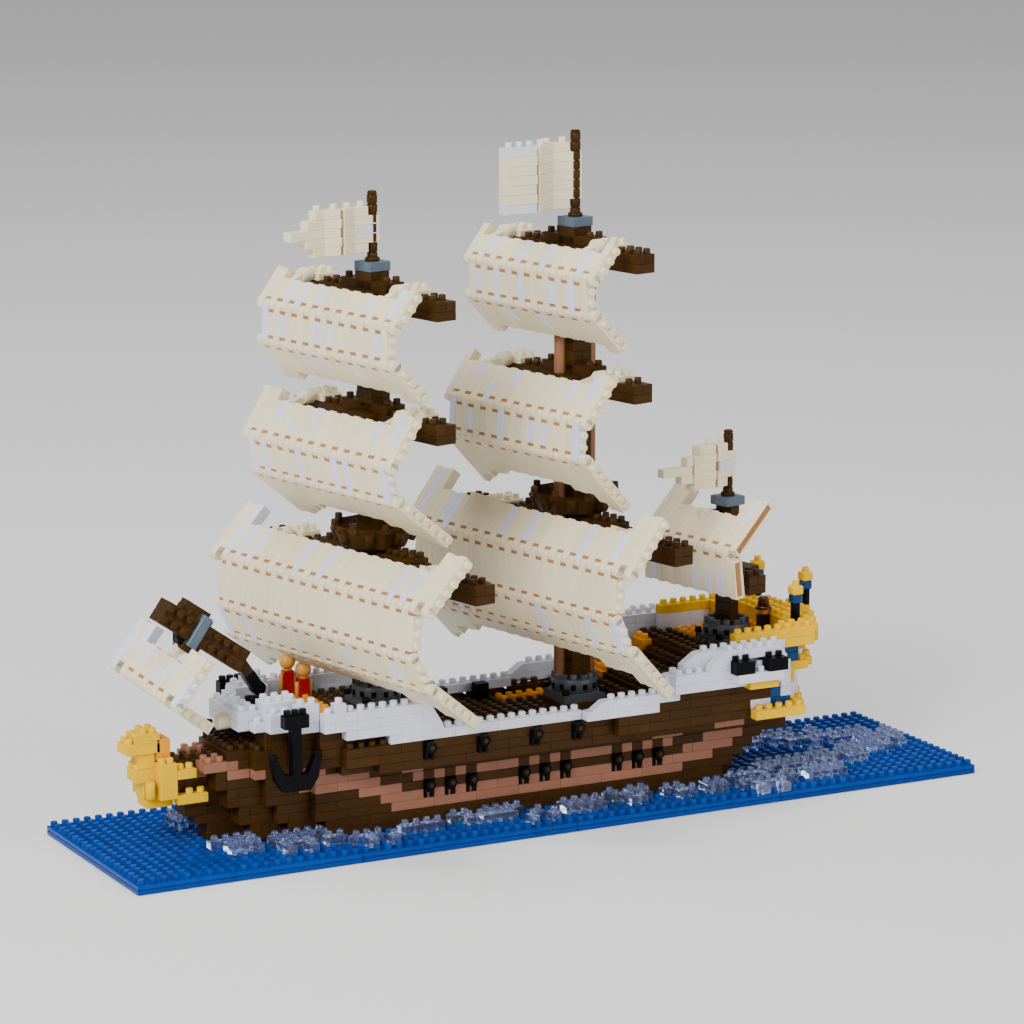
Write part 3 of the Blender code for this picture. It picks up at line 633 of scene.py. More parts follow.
def build_course_pieces():
    for name, slot, node in COURSE_PIECES:
        piece = Piece(name + "_bricks")
        build_courses(name, piece)
        if name == "bow_wall":
            piece.add(drum(0.62, 1.1, 16, 0.08), at(27.9, 0.8, 10.85) @ AHEAD, "cream")
        piece.done("hull", [node])


# Two black bricks on a shelf at each quarter, over a yellow one
QUARTER_BLACKS = (-19.6, -16.3)


def build_bulwarks():
    for name, side in (("port", 1), ("starboard", -1)):
        piece = Piece(f"bulwark_{name}_bricks")
        build_courses(f"bulwark_{name}", piece)
        for outline, inner, outer in RAIL_SLOPES:
            shape = prism(tuple((x, height(level)) for x, level in outline), outer - inner - GAP)
            piece.add(shape, at(0, side * (inner + outer) / 2, 0), "white")
        shelf = sorted((side * 8, side * 10))
        piece.brick((-20.1, -15.6), shelf, heights(12.6, 13.6), "white")
        piece.stud(-18.1, side * 9.4, height(13.6), "white")
        for x in QUARTER_BLACKS:
            piece.brick(about(x, 0.95), shelf, heights(13.6, 15), "black")
            for stud_x in (-0.5, 0.5):
                piece.stud(x + stud_x, side * 9.0, height(15), "black")
        piece.brick((-19.9, -17.0), sorted((side * 8, side * 9.6)), heights(11.7, 12.6), "yellow")
        piece.done("hull", [f"bulwark_{name}"])


# x, y, level of the foot
LANTERNS = [(-24.5, 4.5, 17), (-28.0, 0.4, 17.1), (-26.0, -4.5, 17.4)]


def build_poop_rail():
    piece = Piece("poop_rail_bricks")
    build_courses("poop_rail", piece)
    for x, y, foot in LANTERNS:
        z = height(foot)
        piece.add(drum(0.42, 1.7, 14), at(x, y, z), "black")
        piece.add(block(0.95, 0.95, 0.8, 0.12), at(x, y, z + 2.0), "window_blue")
        piece.add(block(1.05, 1.05, 0.78, 0.1), at(x, y, z + 2.78), "yellow")
        piece.stud(x, y, z + 3.16, "yellow")
    piece.done("hull", ["poop_rail"])


FIGUREHEAD_BRICKS = [
    # x, y, level ranges
    ((33, 35.4), (-1, 1), (4.4, 5.4)),
    ((33, 34.5), (-2, 2), (5.4, 9.2)),
    ((34.8, 35.6), (-0.9, 0.9), (5.4, 7.2)),
    ((34.4, 36.3), (-1, 1), (7.2, 8.6)),
    ((34.5, 36.0), (-0.8, 0.8), (8.6, 10.2)),
    ((34.1, 37.1), (-1, 1), (10.2, 11.3)),
    ((34.1, 36.3), (-1, 1), (11.3, 12.3)),
]
# x and level of the studs on its flanks and along its head
FLANK_STUDS = ((31.8, 8.4), (32.6, 8.4), (30.8, 5.7), (31.8, 5.7), (33.5, 9.2), (34.2, 9.2))
HEAD_STUDS = ((34.6, 12.3), (35.4, 12.3), (36.7, 11.3), (36.0, 8.6))


def build_figurehead():
    piece = Piece("figurehead_bricks")
    for x, y, (low, high) in FIGUREHEAD_BRICKS:
        piece.brick(x, y, heights(low, high), "yellow")
    for side in (-1, 1):
        flank = sorted((side * 1.02, side * 2))
        piece.brick((31.3, 33), flank, heights(7.4, 8.4), "yellow")
        piece.brick((30.3, 33), flank, heights(4.7, 5.7), "yellow")
        for x, level in FLANK_STUDS:
            piece.stud(x, side * 1.5, height(level), "yellow")
        piece.add(drum(0.4, 1.4), at(35.2, side * 1.4, height(5.6)), "yellow")
        for x, level in HEAD_STUDS:
            piece.stud(x, side * 0.5, height(level), "yellow")
    piece.brick((33.2, 34.4), (-1, 1), heights(9.3, 11.6), "golden")
    piece.done("hull", ["figurehead"])


# x and level around an anchor's arms
ANCHOR_ARMS = (
    (23.3, 6.4), (25.7, 6.4), (26.4, 7.6), (26.7, 9.7), (26.2, 9.9),
    (25.5, 8.1), (23.5, 8.1), (22.8, 9.9), (22.3, 9.7), (22.6, 7.6),
)


def build_anchors():
    for name, side in (("port", 1), ("starboard", -1)):
        piece = Piece(f"anchor_{name}_bricks")
        y = sorted((side * 6.1, side * 7.1))
        middle = side * 6.6
        piece.brick((24.1, 24.9), y, heights(6.4, 13), "black")
        piece.brick((23.4, 25.6), y, heights(13, 14.4), "black")
        for x in (23.8, 24.5, 25.2):
            piece.stud(x, middle, height(14.4), "black")
        arms = prism(tuple((x, height(level)) for x, level in ANCHOR_ARMS), 0.9)
        piece.add(arms, at(0, middle, 0), "black")
        for x in (22.5, 26.5):
            piece.add(drum(0.36, 0.8), at(x, middle, height(9.4)), "black")
        piece.done("hull", [f"anchor_{name}"])


FIGURES = (
    # name, x, y, how far it is lifted off the deck
    ("lookout", 19.8, -5.2, 0.55),
    ("sailor", 18.5, -4.8, -0.2),
)
CAPTAIN = (-23.6, 0.6, 15)


def build_figures():
    for name, x, y, lift in FIGURES:
        piece = Piece(name + "_figure")
        z = height(12) + lift
        piece.brick(about(x, 0.45), about(y, 0.38), (z - lift, z + 2.0), "red")
        for side in (-1, 1):
            piece.add(drum(0.2, 1.5, 10), at(x + 0.6 * side, y, z + 0.2), "skin")
        piece.add(drum(0.4, 0.5, 16, 0.08), at(x, y, z + 1.95), "skin")
        piece.add(ball(0.7), at(x, y, z + 2.75), "skin")
        piece.done("hull", [name])
    piece = Piece("captain_figure")
    x, y, deck = CAPTAIN
    z = height(deck)
    piece.brick(about(x, 0.5), about(y, 0.4), (z, z + 1.5), "navy")
    piece.add(drum(0.42, 0.6, 16, 0.08), at(x, y, z + 1.5), "skin")
    piece.add(drum(0.85, 0.3, 20, 0.1, 0.6), at(x, y, z + 2.0), "hat_brown")
    piece.add(drum(0.56, 0.9, 20, 0.16, 0.46), at(x, y, z + 2.2), "hat_brown")
    piece.done("hull", ["captain"])


# Masts, spars and sails, in each mast's frame

MASTS = {
    # name: x, ring foot level, column top, pole top
    "fore": (14.0, 12, 47.4, 54.0),
    "main": (-5.0, 10, 49.9, 58.0),
    "mizzen": (-20.2, 14, 24.4, 31.0),
}
YARDS = [
    # mast, yard, half length, foot, from and to ahead of the mast
    ("fore", "course", 14.6, 21.6, -1, 1),
    ("fore", "topsail", 9.64, 34.1, -1, 1),
    ("fore", "topgallant", 9.7, 44.3, -1, 1),
    ("main", "course", 14.0, 22.8, -1, 1),
    ("main", "topsail", 8.8, 35.8, -1, 1),
    ("main", "topgallant", 9.0, 46.8, -1, 1),
    ("mizzen", "course", 5.2, 17.4, 0.2, 2.2),
]
KNUCKLES = {
    # mast, sail: ahead, up, places along the yard
    ("fore", "course"): (1.9, 23.85, -9.7, 10.3),
    ("fore", "topsail"): (1.9, 36.2, -6.5, 6.5),
    ("fore", "topgallant"): (1.6, 46.4, -7.0, 5.7),
    ("main", "course"): (1.9, 24.9, -8.9, 9.5),
    ("main", "topsail"): (1.9, 37.8, -7.0, 5.6),
    ("main", "topgallant"): (1.6, 48.8, -7.0, 4.9),
    ("mizzen", "course"): (2.0, 23.6, -0.5),
}


def mast_place(mast):
    return ship_place(MASTS[mast][0]) @ Matrix.Rotation(BRACE, 4, "Z")


def build_ring(mast):
    """A square foot and a round drum, with twelve windows and a crown of blocks and studs."""
    x, foot, _, _ = MASTS[mast]
    piece = Piece(mast + "_ring")
    low = height(foot)
    if mast == "main":
        piece.brick((-2, 2), (-2, 2), (height(foot - 1), low), "dark_brown")
    piece.brick((-2, 2), (-2, 2), (low, low + 0.8), "dark_grey")
    piece.add(drum(2.03, 1.15, 24, 0.06), at(0, 0, low + 0.8), "dark_grey")
    for number in range(12):
        turn = Matrix.Rotation(number * pi / 6, 4, "Z")
        piece.add(block(0.12, 0.42, 0.5, 0.02), turn @ at(2.0, 0, low + 1.32), "black")
        if number % 2:
            piece.add(block(0.5, 0.6, 0.5, 0.05), turn @ at(1.72, 0, low + 2.12), "dark_grey")
        else:
            piece.add(stud_shape(), turn @ at(1.55, 0, low + 1.95), "dark_grey")
    for corner_x, corner_y in product((-1.8, 1.8), (-1.8, 1.8)):
        piece.stud(corner_x, corner_y, low + 0.8, "black")
    piece.done("hull", [f"{mast}_mast_ring"], ship_place(x))


# Plans of a column's bricks in every other course, and of the mizzen column's
EVEN_COURSE = (((-1, 0), (-1, 1)), ((0, 1), (-1, 1)))
ODD_COURSE = (((-1, 1), (-1, 0)), ((-1, 1), (0, 1)))
MIZZEN_COURSE = (((-0.5, 0.5), (-1, 1)),)


def build_mast(mast):
    _, foot, top, pole_top = MASTS[mast]
    piece = Piece(mast + "_column")
    low = height(foot) + 2.0
    count = int((top - low) / HIGH)
    step = (top - low) / count
    for number in range(count):
        z = low + number * step
        plan = ODD_COURSE if number % 2 else EVEN_COURSE
        for x, y in MIZZEN_COURSE if mast == "mizzen" else plan:
            piece.brick(x, y, (z, z + step), "dark_brown")
    # Lighter brown rods down two edges of the main column: a painted sheen where light falls on its sides
    if mast == "main":
        for side in (-1, 1):
            piece.add(drum(0.5, top - low - 2, 16), at(1.25 * side, -0.5 * side, low), "painted_sheen_brown")
    piece.brick((-1.08, 1.08), (-1.08, 1.08), (top, top + 0.8), "blue_grey")
    piece.add(drum(0.62, 0.3, 16), at(0, 0, top + 0.8), "dark_brown")
    z = top + 0.8
    while z < pole_top - 0.1:
        high = min(HIGH, pole_top - z)
        piece.add(drum(0.44, high - 0.1, 16), at(0, 0, z), "dark_brown")
        piece.add(drum(0.36, 0.12, 16, 0.01), at(0, 0, z + high - 0.11), "dark_brown")
        z += HIGH
    if mast == "mizzen":
        ahead, up, place = KNUCKLES["mizzen", "course"]
        piece.brick((0.3, ahead - 0.62), about(place, 0.5), (up - 0.5, up + 0.35), "black")
    piece.done(f"{mast}_spars", [f"{mast}_mast"], mast_place(mast))


def build_yard(mast, yard, half, foot, back, front):
    """Two courses of bricks, a raised middle, cream plates that hold the sail, and a collar."""
    piece = Piece(f"{mast}_{yard}_spar")
    whole = int(half)
    top = foot + 2 * HIGH
    for course, first, rows in (
        (0, 3, [(back, front)]),
        (1, 1, [(back, back + 1), (back + 1, front)]),
    ):
        z = foot + course * HIGH
        marks = [-half] + list(range(-whole + first, whole, LONGEST)) + [half]
        for low, high in zip(marks, marks[1:]):
            for row in rows:
                piece.brick(row, (low, high), (z, z + HIGH), "dark_brown")
    step_half = 0
    plates = ()
    if mast != "mizzen":
        step_half = 6 if yard == "course" else 3
        _, knuckle_up, *plates = KNUCKLES[mast, yard]
    for low in range(-step_half, step_half, 3):
        piece.brick((back, front), (low, low + 3), (top, top + HIGH * 0.98), "dark_brown")
    for u in range(-whole, whole):
        raised = -step_half <= u < step_half
        if any(abs(u + 0.5 - place) < 1.0 for place in plates) or (raised and -2 <= u < 2):
            continue
        for v in (back + 0.5, front - 0.5):
            piece.stud(v, u + 0.5, top + (HIGH if raised else 0), "dark_brown")
    for place in plates:
        plate_top = knuckle_up + 0.1
        low = min(knuckle_up - 0.5, top + 0.4)
        piece.brick((-1, 1), about(place, 1), (low, plate_top), "cream")
        for stud_y, stud_x in product((-0.5, 0.5), (-0.5, 0.5)):
            piece.stud(stud_x, place + stud_y, plate_top, "cream")
    ahead = max(2, front)
    collar = (((-2, ahead), (-2, -1)), ((-2, ahead), (1, 2)), ((-2, -1), (-1, 1)), ((1, ahead), (-1, 1)))
    for x, y in collar:
        piece.brick(x, y, (foot, top), "dark_brown")
    piece.done(f"{mast}_spars", [f"{mast}_{yard}_yard"], mast_place(mast))


NESTS = {
    # mast: foot, top, radius at the foot and at the top
    "fore": (24.3, 26.2, 2.9, 3.7),
    "main": (25.5, 27.2, 3.1, 3.9),
}


def build_nest(mast):
    """An eight-sided basket with a rib on each corner and a block and a stud on each side."""
    foot, top, low_r, high_r = NESTS[mast]
    piece = Piece(f"{mast}_nest")
    bm = bmesh.new()
    bmesh.ops.create_cone(bm, cap_ends=True, segments=8, radius1=low_r, radius2=high_r, depth=top - foot)
    bmesh.ops.rotate(bm, matrix=Matrix.Rotation(pi / 8, 3, "Z"), verts=bm.verts)
    bmesh.ops.translate(bm, vec=(0, 0, (foot + top) / 2), verts=bm.verts)
    upper = [face for face in bm.faces if face.normal.z > 0.9]
    bmesh.ops.inset_region(bm, faces=upper, thickness=0.55)
    bmesh.ops.translate(bm, vec=(0, 0, -0.9), verts=list({v for face in upper for v in face.verts}))
    soften(bm, bm.edges[:], 0.07)
    piece.add(finished(bm), Matrix.Identity(4), "dark_brown")
    lean = atan2(high_r - low_r, top - foot)
    for number in range(8):
        turn = Matrix.Rotation(number * pi / 4, 4, "Z")
        rib = turn @ at((low_r + high_r) / 2 * 0.96, 0, (foot + top) / 2) @ Matrix.Rotation(lean, 4, "Y")
        piece.add(drum(0.42, 1.1), rib @ at(0, 0, -0.5), "dark_brown")
        edge = turn @ Matrix.Rotation(pi / 8, 4, "Z") @ at(high_r * 0.93, 0, top - 0.2)
        piece.add(block(0.5, 0.8, 0.45, 0.05), edge, "dark_brown")
        piece.add(stud_shape(), edge @ at(0, 0, 0.2), "dark_brown")
    piece.done(f"{mast}_spars", [f"{mast}_top"], mast_place(mast))


FLAG_ROWS = {
    # mast: foot, height of a course, rows of bricks as (course, from, to, finish)
    "fore": (49.0, 0.76, (
        (0, 0.6, 6.4, "cream"), (1, -0.5, 7.3, "cream"), (2, 1.6, 9.0, "cream"),
        (3, -0.5, 7.1, "cream"), (4, 0.6, 6.2, "cream"), (2, -0.55, 1.6, "white"),
    )),
    "main": (51.4, 0.8, (
        (0, 0.6, 4.8, "cream"), (0, 4.8, 8.1, "white"), (1, -0.5, 8.1, "cream"),
        (2, -0.5, 8.1, "cream"), (3, -0.5, 8.1, "cream"), (4, -0.5, 8.1, "cream"),
        (5, -0.5, 8.1, "cream"), (6, 0.6, 4.8, "cream"), (6, 4.8, 8.1, "white"),
    )),
    "mizzen": (26.2, 0.76, (
        (0, 0.6, 4.9, "cream"), (1, -0.5, 6.2, "cream"), (2, 1.6, 8.1, "cream"),
        (3, -0.5, 5.6, "cream"), (4, 0.6, 3.9, "cream"), (2, -0.55, 1.6, "white"),
    )),
}
FLAG_BACK = -0.5
FLAG_PANELS = {
    # mast: panels from behind the pole outwards: (length, turned by degrees)
    "fore": ((2.5, -6), (1.5, 16), (1.6, -18), (6, 6)),
    "main": ((2.8, -18), (2.5, 22), (6, -9)),
    "mizzen": ((2.3, 6), (1.4, -18), (1.7, 18), (6, -6)),
}


def build_flag(mast):
    """Courses of small bricks, folded like a screen at slots between its panels."""
    foot, step, rows = FLAG_ROWS[mast]
    piece = Piece(f"{mast}_banner")
    start = FLAG_BACK
    corner = Vector((FLAG_BACK, 0))
    for number, (length, degrees) in enumerate(FLAG_PANELS[mast]):
        turn = at(corner.x, corner.y, 0) @ Matrix.Rotation(radians(degrees), 4, "Z")
        for course, low, high, finish in rows:
            part_low = max(low, start + (0.1 if number and course % 2 == 0 else 0))
            part_high = min(high, start + length)
            long = part_high - part_low
            if long < 0.2:
                continue
            z = foot + (course + 0.5) * step
            middle = (part_low + part_high) / 2 - start
            piece.add(block(long - GAP, 0.9, step - GAP), turn @ at(middle, 0, z), finish)
            # A brown block at each fold's slot: painted shade in the slot
            if number and low < start:
                piece.add(block(0.22, 0.72, step * 0.9), turn @ at(0.05, 0, z), "painted_shade_brown")
            above = [row for row in rows if row[0] == course + 1 and row[1] < high and low < row[2]]
            if not above:
                for place in range(int(long + 0.3)):
                    spot = turn @ at(part_low - start + place + 0.5, 0, z + step / 2)
                    piece.add(stud_shape(), spot, finish)
        corner = corner + direction(degrees) * length
        start += length
    piece.done(f"{mast}_spars", [f"{mast}_flag"], mast_place(mast))


SAILS = {
    # half width, layers, first stud, runs (studs, degrees)
    ("fore", "course"): (14.8, 37, (2.2, 25.25), ((5, -43), (4, -83.5), (3, -116), (5, -142))),
    ("fore", "topsail"): (10.0, 25, (3.54, 36.24), ((4, -56), (3, -103), (6, -142))),
    ("fore", "topgallant"): (9.2, 23, (2.76, 46.36), ((3, -50.5), (3, -88), (4, -134))),
    ("main", "course"): (14.8, 37, (3.1, 26.8), ((5, -50), (4, -86), (3, -113), (5, -134))),
    ("main", "topsail"): (9.2, 23, (3.98, 38.02), ((4, -53), (3, -87), (6, -134))),
    ("main", "topgallant"): (8.4, 21, (2.97, 48.86), ((3, -49), (3, -93), (4, -135))),
    ("mizzen", "course"): (5.9, 15, (0.72, 24.95), ((5, -44), (3.5, -97))),
}
SHORTER = {
    # sail: studs short of the full top and foot, by how far from the mast: (half width, top, foot)
    "course": ((8.4, 2, 3.6), (11.5, 2, 2.4), (12.6, 2, 1.0), (13.2, 0, 0.9), (16, 0, -0.6)),
    "topsail": ((4.2, 1, 2.7), (6.4, 1, 1.9), (8.0, 1, 1.0)),
    "topgallant": ((7.0, 1, 1.0), (7.6, 1, 0)),
    "mizzen": ((3.2, 2, 0),),
    "sprit": ((3.2, 1.4, 0),),
}
STRIPES = {
    # mast, sail: white parts as (run, layers, from and to as a share of the run)
    ("fore", "course"): (
        (0, (2, 4, 6, 14, 18, 30, 32), 0, 1),
        (2, (2, 6, 23, 31, 35), 0, 1),
    ),
    ("main", "course"): (
        (0, (1, 5, 6, 15, 19, 28, 33), 0, 1),
        (2, (3, 8, 22, 30, 34), 0, 1),
    ),
    ("fore", "topgallant"): (
        (0, (4, 6, 9, 17, 21), 0, 1),
        (1, (1, 4, 10, 12, 20), 0, 1),
        (2, (7, 9, 15), 0, 0.6),
    ),
    ("main", "topgallant"): (
        (0, (3, 8, 12, 18), 0, 1),
        (1, (2, 5, 9, 14, 17), 0, 1),
        (2, (6, 11), 0, 0.6),
    ),
    ("fore", "topsail"): (
        (0, (4, 10, 20), 0, 0.55),
        (0, (23,), 0, 0.7),
        (0, (7,), 0.45, 1),
        (1, (1, 3, 9, 15, 17, 23, 24), 0, 1),
    ),
    ("main", "topsail"): (
        (0, (3, 9, 18), 0, 0.55),
        (0, (21,), 0, 0.7),
        (0, (6,), 0.45, 1),
        (1, (1, 4, 9, 14, 16, 21, 22), 0, 1),
    ),
    ("mizzen", "course"): (
        (1, (1, 8, 10, 12), 0.35, 1),
        (0, (13,), 0, 0.5),
    ),
    ("sprit", "sail"): (
        (0, (2, 4, 9), 0, 0.6),
        (0, (7, 12), 0.4, 1),
        (0, (0,), 0, 1),
    ),
}
# How many layers each run stops short of the outermost ones
STAGGER = {
    "course": (0, 2, 2, 1), "topsail": (0, 1, 0), "topgallant": (0, 1, 0), "mizzen": (0, 0),
    "sprit": (0, 2),
}
# Shape of the bricks of a sail: the slot beside a neighbour's fold, the fold's radius, the thickness
SLOT = 0.54
FOLD_R = 0.49
THICK = 0.98
# What every other layer is shorter by
UNEVEN = 0.1


def shorter(kind, u):
    """Studs that a layer is short of the full top and foot. Only port layers reach past the foot."""
    for half, top, foot in SHORTER[kind]:
        if abs(u) < half:
            return top, foot if u >= 0 else max(foot, 0)
    return 0, 0


def add_channel(piece, seat, low, high, wide):
    """The mizzen sail's outermost layer at port: a frame around a recessed channel, painted brown for the
    shade in it.
    """
    middle = (low + high) / 2
    for side in (-0.42, 0.42):
        piece.add(block(high - low, wide, 0.14), seat @ at(middle, 0, side), "cream")
    for end in (low + 0.1, high - 0.1):
        piece.add(block(0.2, wide, 0.9), seat @ at(end, 0, 0), "cream")
    # The channel's brown is painted shade
    channel = block(high - low - 0.3, wide * 0.7, 0.72)
    piece.add(channel, seat @ at(middle, -wide * 0.15, 0), "painted_shade_brown")


def build_sail(key, kind, half, layers, start, runs, piece):
    """Layers of bricks stacked along the yard: neighbours take turns to hold the pivots of each fold."""
    pivots = [Vector(start)]
    for studs, degrees in runs:
        pivots.append(pivots[-1] + direction(degrees) * studs)
    white = {(run, layer): (low, high) for run, held, low, high in STRIPES[key] for layer in held}
    wide = 2 * half / layers
    last = len(runs) - 1
    fold = drum(FOLD_R, wide - GAP, 16)
    for layer, (run, (studs, degrees)) in product(range(layers), enumerate(runs)):
        step = STAGGER[kind][run]
        if not step <= layer < layers - step:
            continue
        u = -half + (layer + 0.5) * wide
        top_short, foot_short = shorter(kind, u)
        uneven = UNEVEN if layer % 2 else 0.0
        low = -0.5 + top_short + uneven
        if run:
            low = 0.0 if (run + layer) % 2 == 0 else SLOT
        high = studs
        if run == last:
            high = studs + 0.5 - foot_short - uneven
        elif (run + layer) % 2:
            high = studs - SLOT
        seat = at(pivots[run].x, u, pivots[run].y) @ Matrix.Rotation(-radians(degrees), 4, "Y")
        if kind == "mizzen" and layer == layers - 1:
            add_channel(piece, seat, low, high, wide)
            continue
        parts = [(low, high, "cream")]
        if (run, layer) in white:
            cut_low, cut_high = (low + (high - low) * share for share in white[run, layer])
            parts = [(low, cut_low, "cream"), (cut_high, high, "cream")]
            parts.insert(1, (cut_low, cut_high, "stripe_white"))
        for part_low, part_high, finish in parts:
            if part_high - part_low > 0.3:
                brick = block(part_high - part_low - GAP, wide - GAP, THICK)
                piece.add(brick, seat @ at((part_low + part_high) / 2, 0, 0), finish)
        if run and (run + layer) % 2 == 0:
            piece.add(fold, seat @ at(0, -wide / 2 + SEAM, 0) @ TO_PORT, parts[0][2])
        if run < last and (run + layer) % 2 == 0:
            pivot = pivots[run + 1]
            piece.add(fold, at(pivot.x, u - wide / 2 + SEAM, pivot.y) @ TO_PORT, parts[-1][2])
        if layer == layers - 1 - step:
            stud = 1.0 if run else low + 0.5
            while stud < high - 0.3:
                shape = stud_shape(run == last)
                piece.add(shape, seat @ at(stud, wide / 2, 0) @ TO_PORT, parts[0][2])
                stud += 1.0
    add_painted_slot_shade(piece, half - 2.2 * wide, pivots, runs)


def add_painted_slot_shade(piece, reach, pivots, runs):
    """A brown block inside a sail: painted shade that shows through its slots."""
    last = len(runs) - 1
    for run, (studs, degrees) in enumerate(runs):
        low = 0.0 if run else 2.0
        high = studs if run < last else max(studs - 4, 0.8)
        middle = pivots[run] + direction(degrees) * (low + high) / 2
        place = at(middle.x, 0, middle.y) @ Matrix.Rotation(-radians(degrees), 4, "Y")
        piece.add(block(high - low, 2 * reach, 0.8), place, "painted_shade_brown")


def build_mast_sail(mast, sail):
    half, layers, start, runs = SAILS[mast, sail]
    piece = Piece(f"{mast}_{sail}_bricks")
    build_sail((mast, sail), "mizzen" if mast == "mizzen" else sail, half, layers, start, runs, piece)
    ahead, up, *places = KNUCKLES[mast, sail]
    grip = Vector(start) + direction(runs[0][1]) * (1.4 if sail == "course" else 0.9)
    reach = grip - Vector((ahead, up))
    for place in places:
        piece.add(drum(0.62, 1.1, 20, 0.08), at(ahead - 0.45, place, up) @ AHEAD, "cream")
        piece.add(drum(0.44, 0.25, 20, 0.04), at(ahead + 0.6, place, up) @ AHEAD, "cream")
        middle = at(ahead + reach.x / 2, place, up + reach.y / 2)
        piece.add(block(reach.length, 0.7, 0.7), middle @ along(reach), "cream")
    piece.done(f"{mast}_{sail}", [f"{mast}_{sail}_sail"], mast_place(mast))


# Bowsprit and spritsail, in x and z from the middle of the sea plates and the floor

FOOT = Vector((24.9, 13.2))
BEND = Vector((26.8, 16.0))
END = Vector((33.1, 20.45))
CLIP = Vector((31.8, 17.3))
BEAM_BLOCKS = (
    # size, soft edge, place along, across and up from the bend, finish
    ((0.9, 2.7, 2.9), 0.06, (4.6, 0, 0.1), "blue_grey"),
    ((2.6, 1.0, 0.9), SOFT, (5.6, 0.2, 1.44), "dark_brown"),
    ((1.6, 1.8, 0.9), SOFT, (4.4, 0, -1.4), "dark_brown"),
)


def build_bowsprit():
    piece = Piece("bowsprit_bricks")
    arm = BEND - FOOT
    arm_turn = at(FOOT.x, 0, FOOT.y) @ along(arm)
    piece.add(drum(0.6, 1.0, 16), at(FOOT.x, -0.5, FOOT.y) @ TO_PORT, "black")
    piece.add(block(1.8, 1.05, 1.0), arm_turn @ at(0.7, 0, 0), "black")
    piece.add(block(arm.length - 0.6, 0.96, 0.96), arm_turn @ at(arm.length / 2 + 0.7, 0, 0), "dark_brown")
    beam = END - BEND
    turn = at(BEND.x, 0, BEND.y) @ along(beam)
    long = beam.length + 0.5
    for course in range(2):
        low = -0.5
        while low < long - 0.1:
            high = min(low + (2 if course and low < 0 else LONGEST), long)
            brick = block(high - low - 0.01, 1.98, 0.99)
            piece.add(brick, turn @ at((low + high) / 2, 0, course - 0.5), "dark_brown")
            low = high
    for number, side in product((1, 2, 3, 6, 7, 8), (-0.5, 0.5)):
        piece.add(stud_shape(), turn @ at(number, 0.98, side) @ TO_PORT, "dark_brown")
    for number in range(int(long - 3.5), int(long + 0.5)):
        piece.add(stud_shape(), turn @ at(number, 0.5, 1.0), "dark_brown")
    for size, soft, place, finish in BEAM_BLOCKS:
        piece.add(block(*size, soft), turn @ at(*place), finish)
    piece.add(block(0.8, 1.1, 1.7), at(CLIP.x, 0, CLIP.y + 1.35), "black")
    piece.add(drum(0.5, 0.5, 14), at(CLIP.x, 0.3, CLIP.y + 1.0) @ TO_PORT, "black")
    piece.done("bowsprit", ["bowsprit"])
    step = Piece("bowsprit_hinge")
    step.brick((24, 26), (-1, 1), heights(12, 14), "black")
    for side in (-0.5, 0.5):
        step.stud(25.5, side, height(14), "black")
    step.brick((24.3, 25.4), (-0.5, 0.5), (height(14), height(14) + 0.5), "black")
    step.done("hull", ["bowsprit_step"])


SPRIT_YAW = radians(7.5)
SPRIT_ROLL = radians(-8.5)
SPRIT_TOP = Vector((32.0, 18.1))
SPRIT_FOLD = Vector((34.7, 14.4))
SPRIT_FOOT = Vector((30.5, 11.23))
SPRIT_HALF = 5.3
SPRIT_LAYERS = 13


def build_spritsail():
    """A sail of two runs about its clip, half a stud short at either end."""
    piece = Piece("spritsail_bricks")
    upper = SPRIT_FOLD - SPRIT_TOP
    lower = SPRIT_FOOT - SPRIT_FOLD
    way = upper.normalized()
    runs = (
        (upper.length - 0.5, atan2(way.y, way.x) * 180 / pi),
        (lower.length - 0.5, atan2(lower.y, lower.x) * 180 / pi),
    )
    start = SPRIT_TOP - CLIP + way * 0.5
    build_sail(("sprit", "sail"), "sprit", SPRIT_HALF, SPRIT_LAYERS, start, runs, piece)
    piece.add(drum(0.42, 0.9, 14), at(0, -0.45, 0) @ TO_PORT, "cream")
    neck = Vector((1.5, -1.6))
    piece.add(block(neck.length, 0.55, 0.55), at(neck.x / 2, 0, neck.y / 2) @ along(neck), "cream")
    turn = Matrix.Rotation(SPRIT_YAW, 4, "Z") @ Matrix.Rotation(SPRIT_ROLL, 4, "X")
    piece.done("spritsail", ["spritsail"], ship_place(CLIP.x, CLIP.y) @ turn)


# Studio, in metres

LIGHTS = (
    # name, place, aim, size, watts
    ("window", (1.7, 1.0, 1.5), (0, 0, 0.08), 1.0, 60.0),
    ("fill", (-1.1, 1.9, 1.0), (0, 0, 0.08), 1.4, 22.0),
    ("top", (0.1, -0.2, 1.9), (0, 0, 0.0), 1.0, 20.0),
)
PAPER_GREY = (0.8, 0.8, 0.8, 1)
AIR_STRENGTH = 0.45


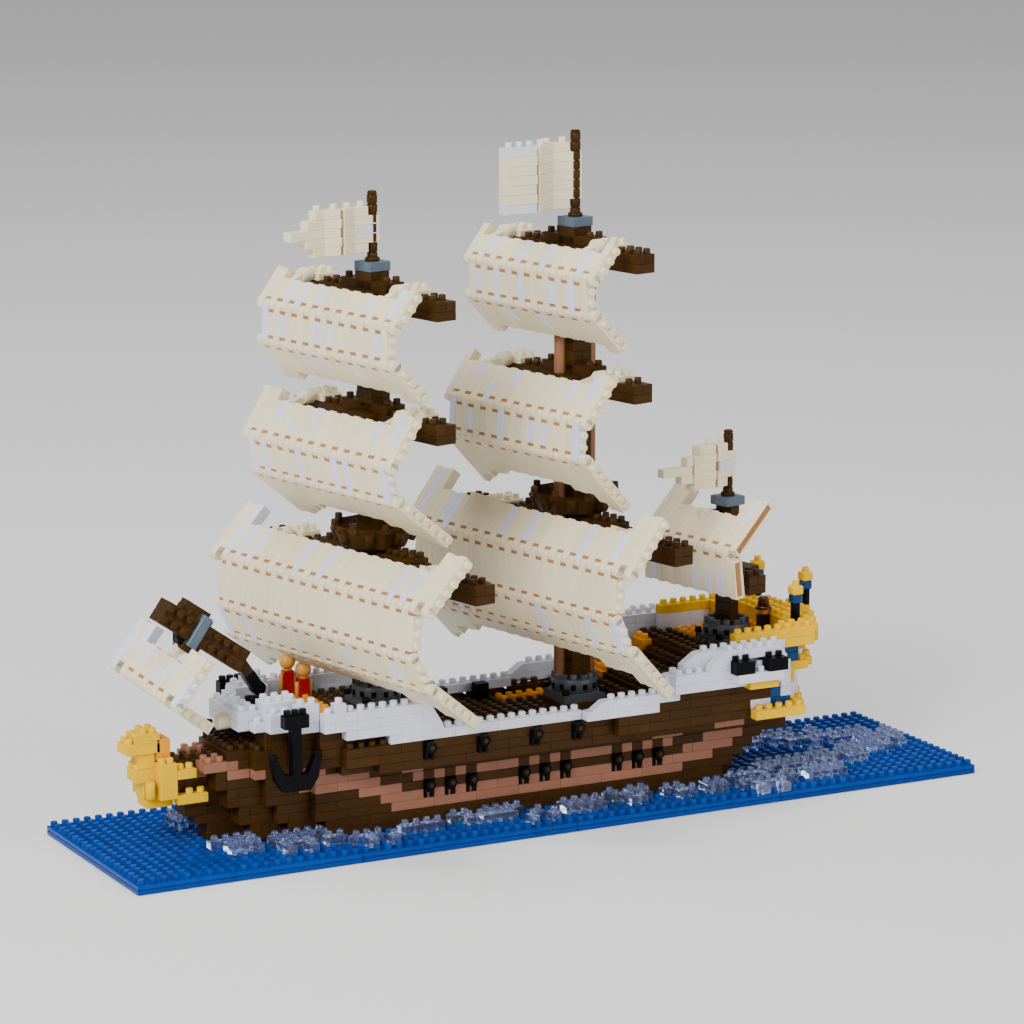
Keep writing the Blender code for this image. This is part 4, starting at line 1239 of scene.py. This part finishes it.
def build_studio():
    bm = bmesh.new()
    bmesh.ops.create_grid(bm, x_segments=1, y_segments=1, size=6.0)
    mesh = bpy.data.meshes.new("studio_floor")
    bm.to_mesh(mesh)
    bm.free()
    floor = bpy.data.objects.new("studio_floor", mesh)
    link(floor)
    paper = bpy.data.materials.new("floor_paper")
    paper.use_nodes = True
    set_inputs(paper.node_tree.nodes["Principled BSDF"], {"Base Color": PAPER_GREY, "Roughness": 0.7})
    mesh.materials.append(paper)
    floor.location.z = -0.0002
    world = bpy.data.worlds.new("studio_air")
    bpy.context.scene.world = world
    world.use_nodes = True
    set_inputs(world.node_tree.nodes["Background"], {"Color": (1, 1, 1, 1), "Strength": AIR_STRENGTH})
    for name, place, aim, size, watts in LIGHTS:
        light = bpy.data.lights.new(name, "AREA")
        light.size = size
        light.energy = watts
        lamp = bpy.data.objects.new(name, light)
        link(lamp)
        lamp.location = place
        lamp.rotation_euler = (Vector(aim) - Vector(place)).to_track_quat("-Z", "Y").to_euler()


CAMERA_PLACE = (0.66586, 1.23398, 0.39302)
CAMERA_AZIMUTH = radians(27.476)
CAMERA_ELEVATION = radians(11.779)
CAMERA_ROLL = radians(-0.046)
SENSOR_MM = 36.0
LENS_MM = 146.9


def build_camera():
    """The photograph's place and angle, from a fit to the sea plates' corners and studs."""
    level = cos(CAMERA_ELEVATION)
    back = Vector((sin(CAMERA_AZIMUTH) * level, cos(CAMERA_AZIMUTH) * level, sin(CAMERA_ELEVATION)))
    right = Vector((0, 0, 1)).cross(back).normalized()
    up = back.cross(right)
    turned_right = right * cos(CAMERA_ROLL) + up * sin(CAMERA_ROLL)
    turned_up = up * cos(CAMERA_ROLL) - right * sin(CAMERA_ROLL)
    place = Matrix((turned_right, turned_up, back)).transposed().to_4x4()
    place.translation = CAMERA_PLACE
    lens = bpy.data.cameras.new("photo_camera")
    lens.sensor_width = SENSOR_MM
    lens.lens = LENS_MM
    lens.clip_end = 20.0
    camera = bpy.data.objects.new("photo_camera", lens)
    camera.matrix_world = place
    link(camera)
    bpy.context.scene.camera = camera


lay_hull()
lay_decks()
lay_bulwarks()
lay_bow()
lay_stern()
lay_foam()
build_sea()
build_hull()
build_course_pieces()
build_bulwarks()
build_poop_rail()
build_figurehead()
build_anchors()
build_figures()
for mast in MASTS:
    build_ring(mast)
    build_mast(mast)
    build_flag(mast)
for row in YARDS:
    build_yard(*row)
for mast in NESTS:
    build_nest(mast)
for mast, sail in SAILS:
    build_mast_sail(mast, sail)
build_bowsprit()
build_spritsail()
build_studio()
build_camera()
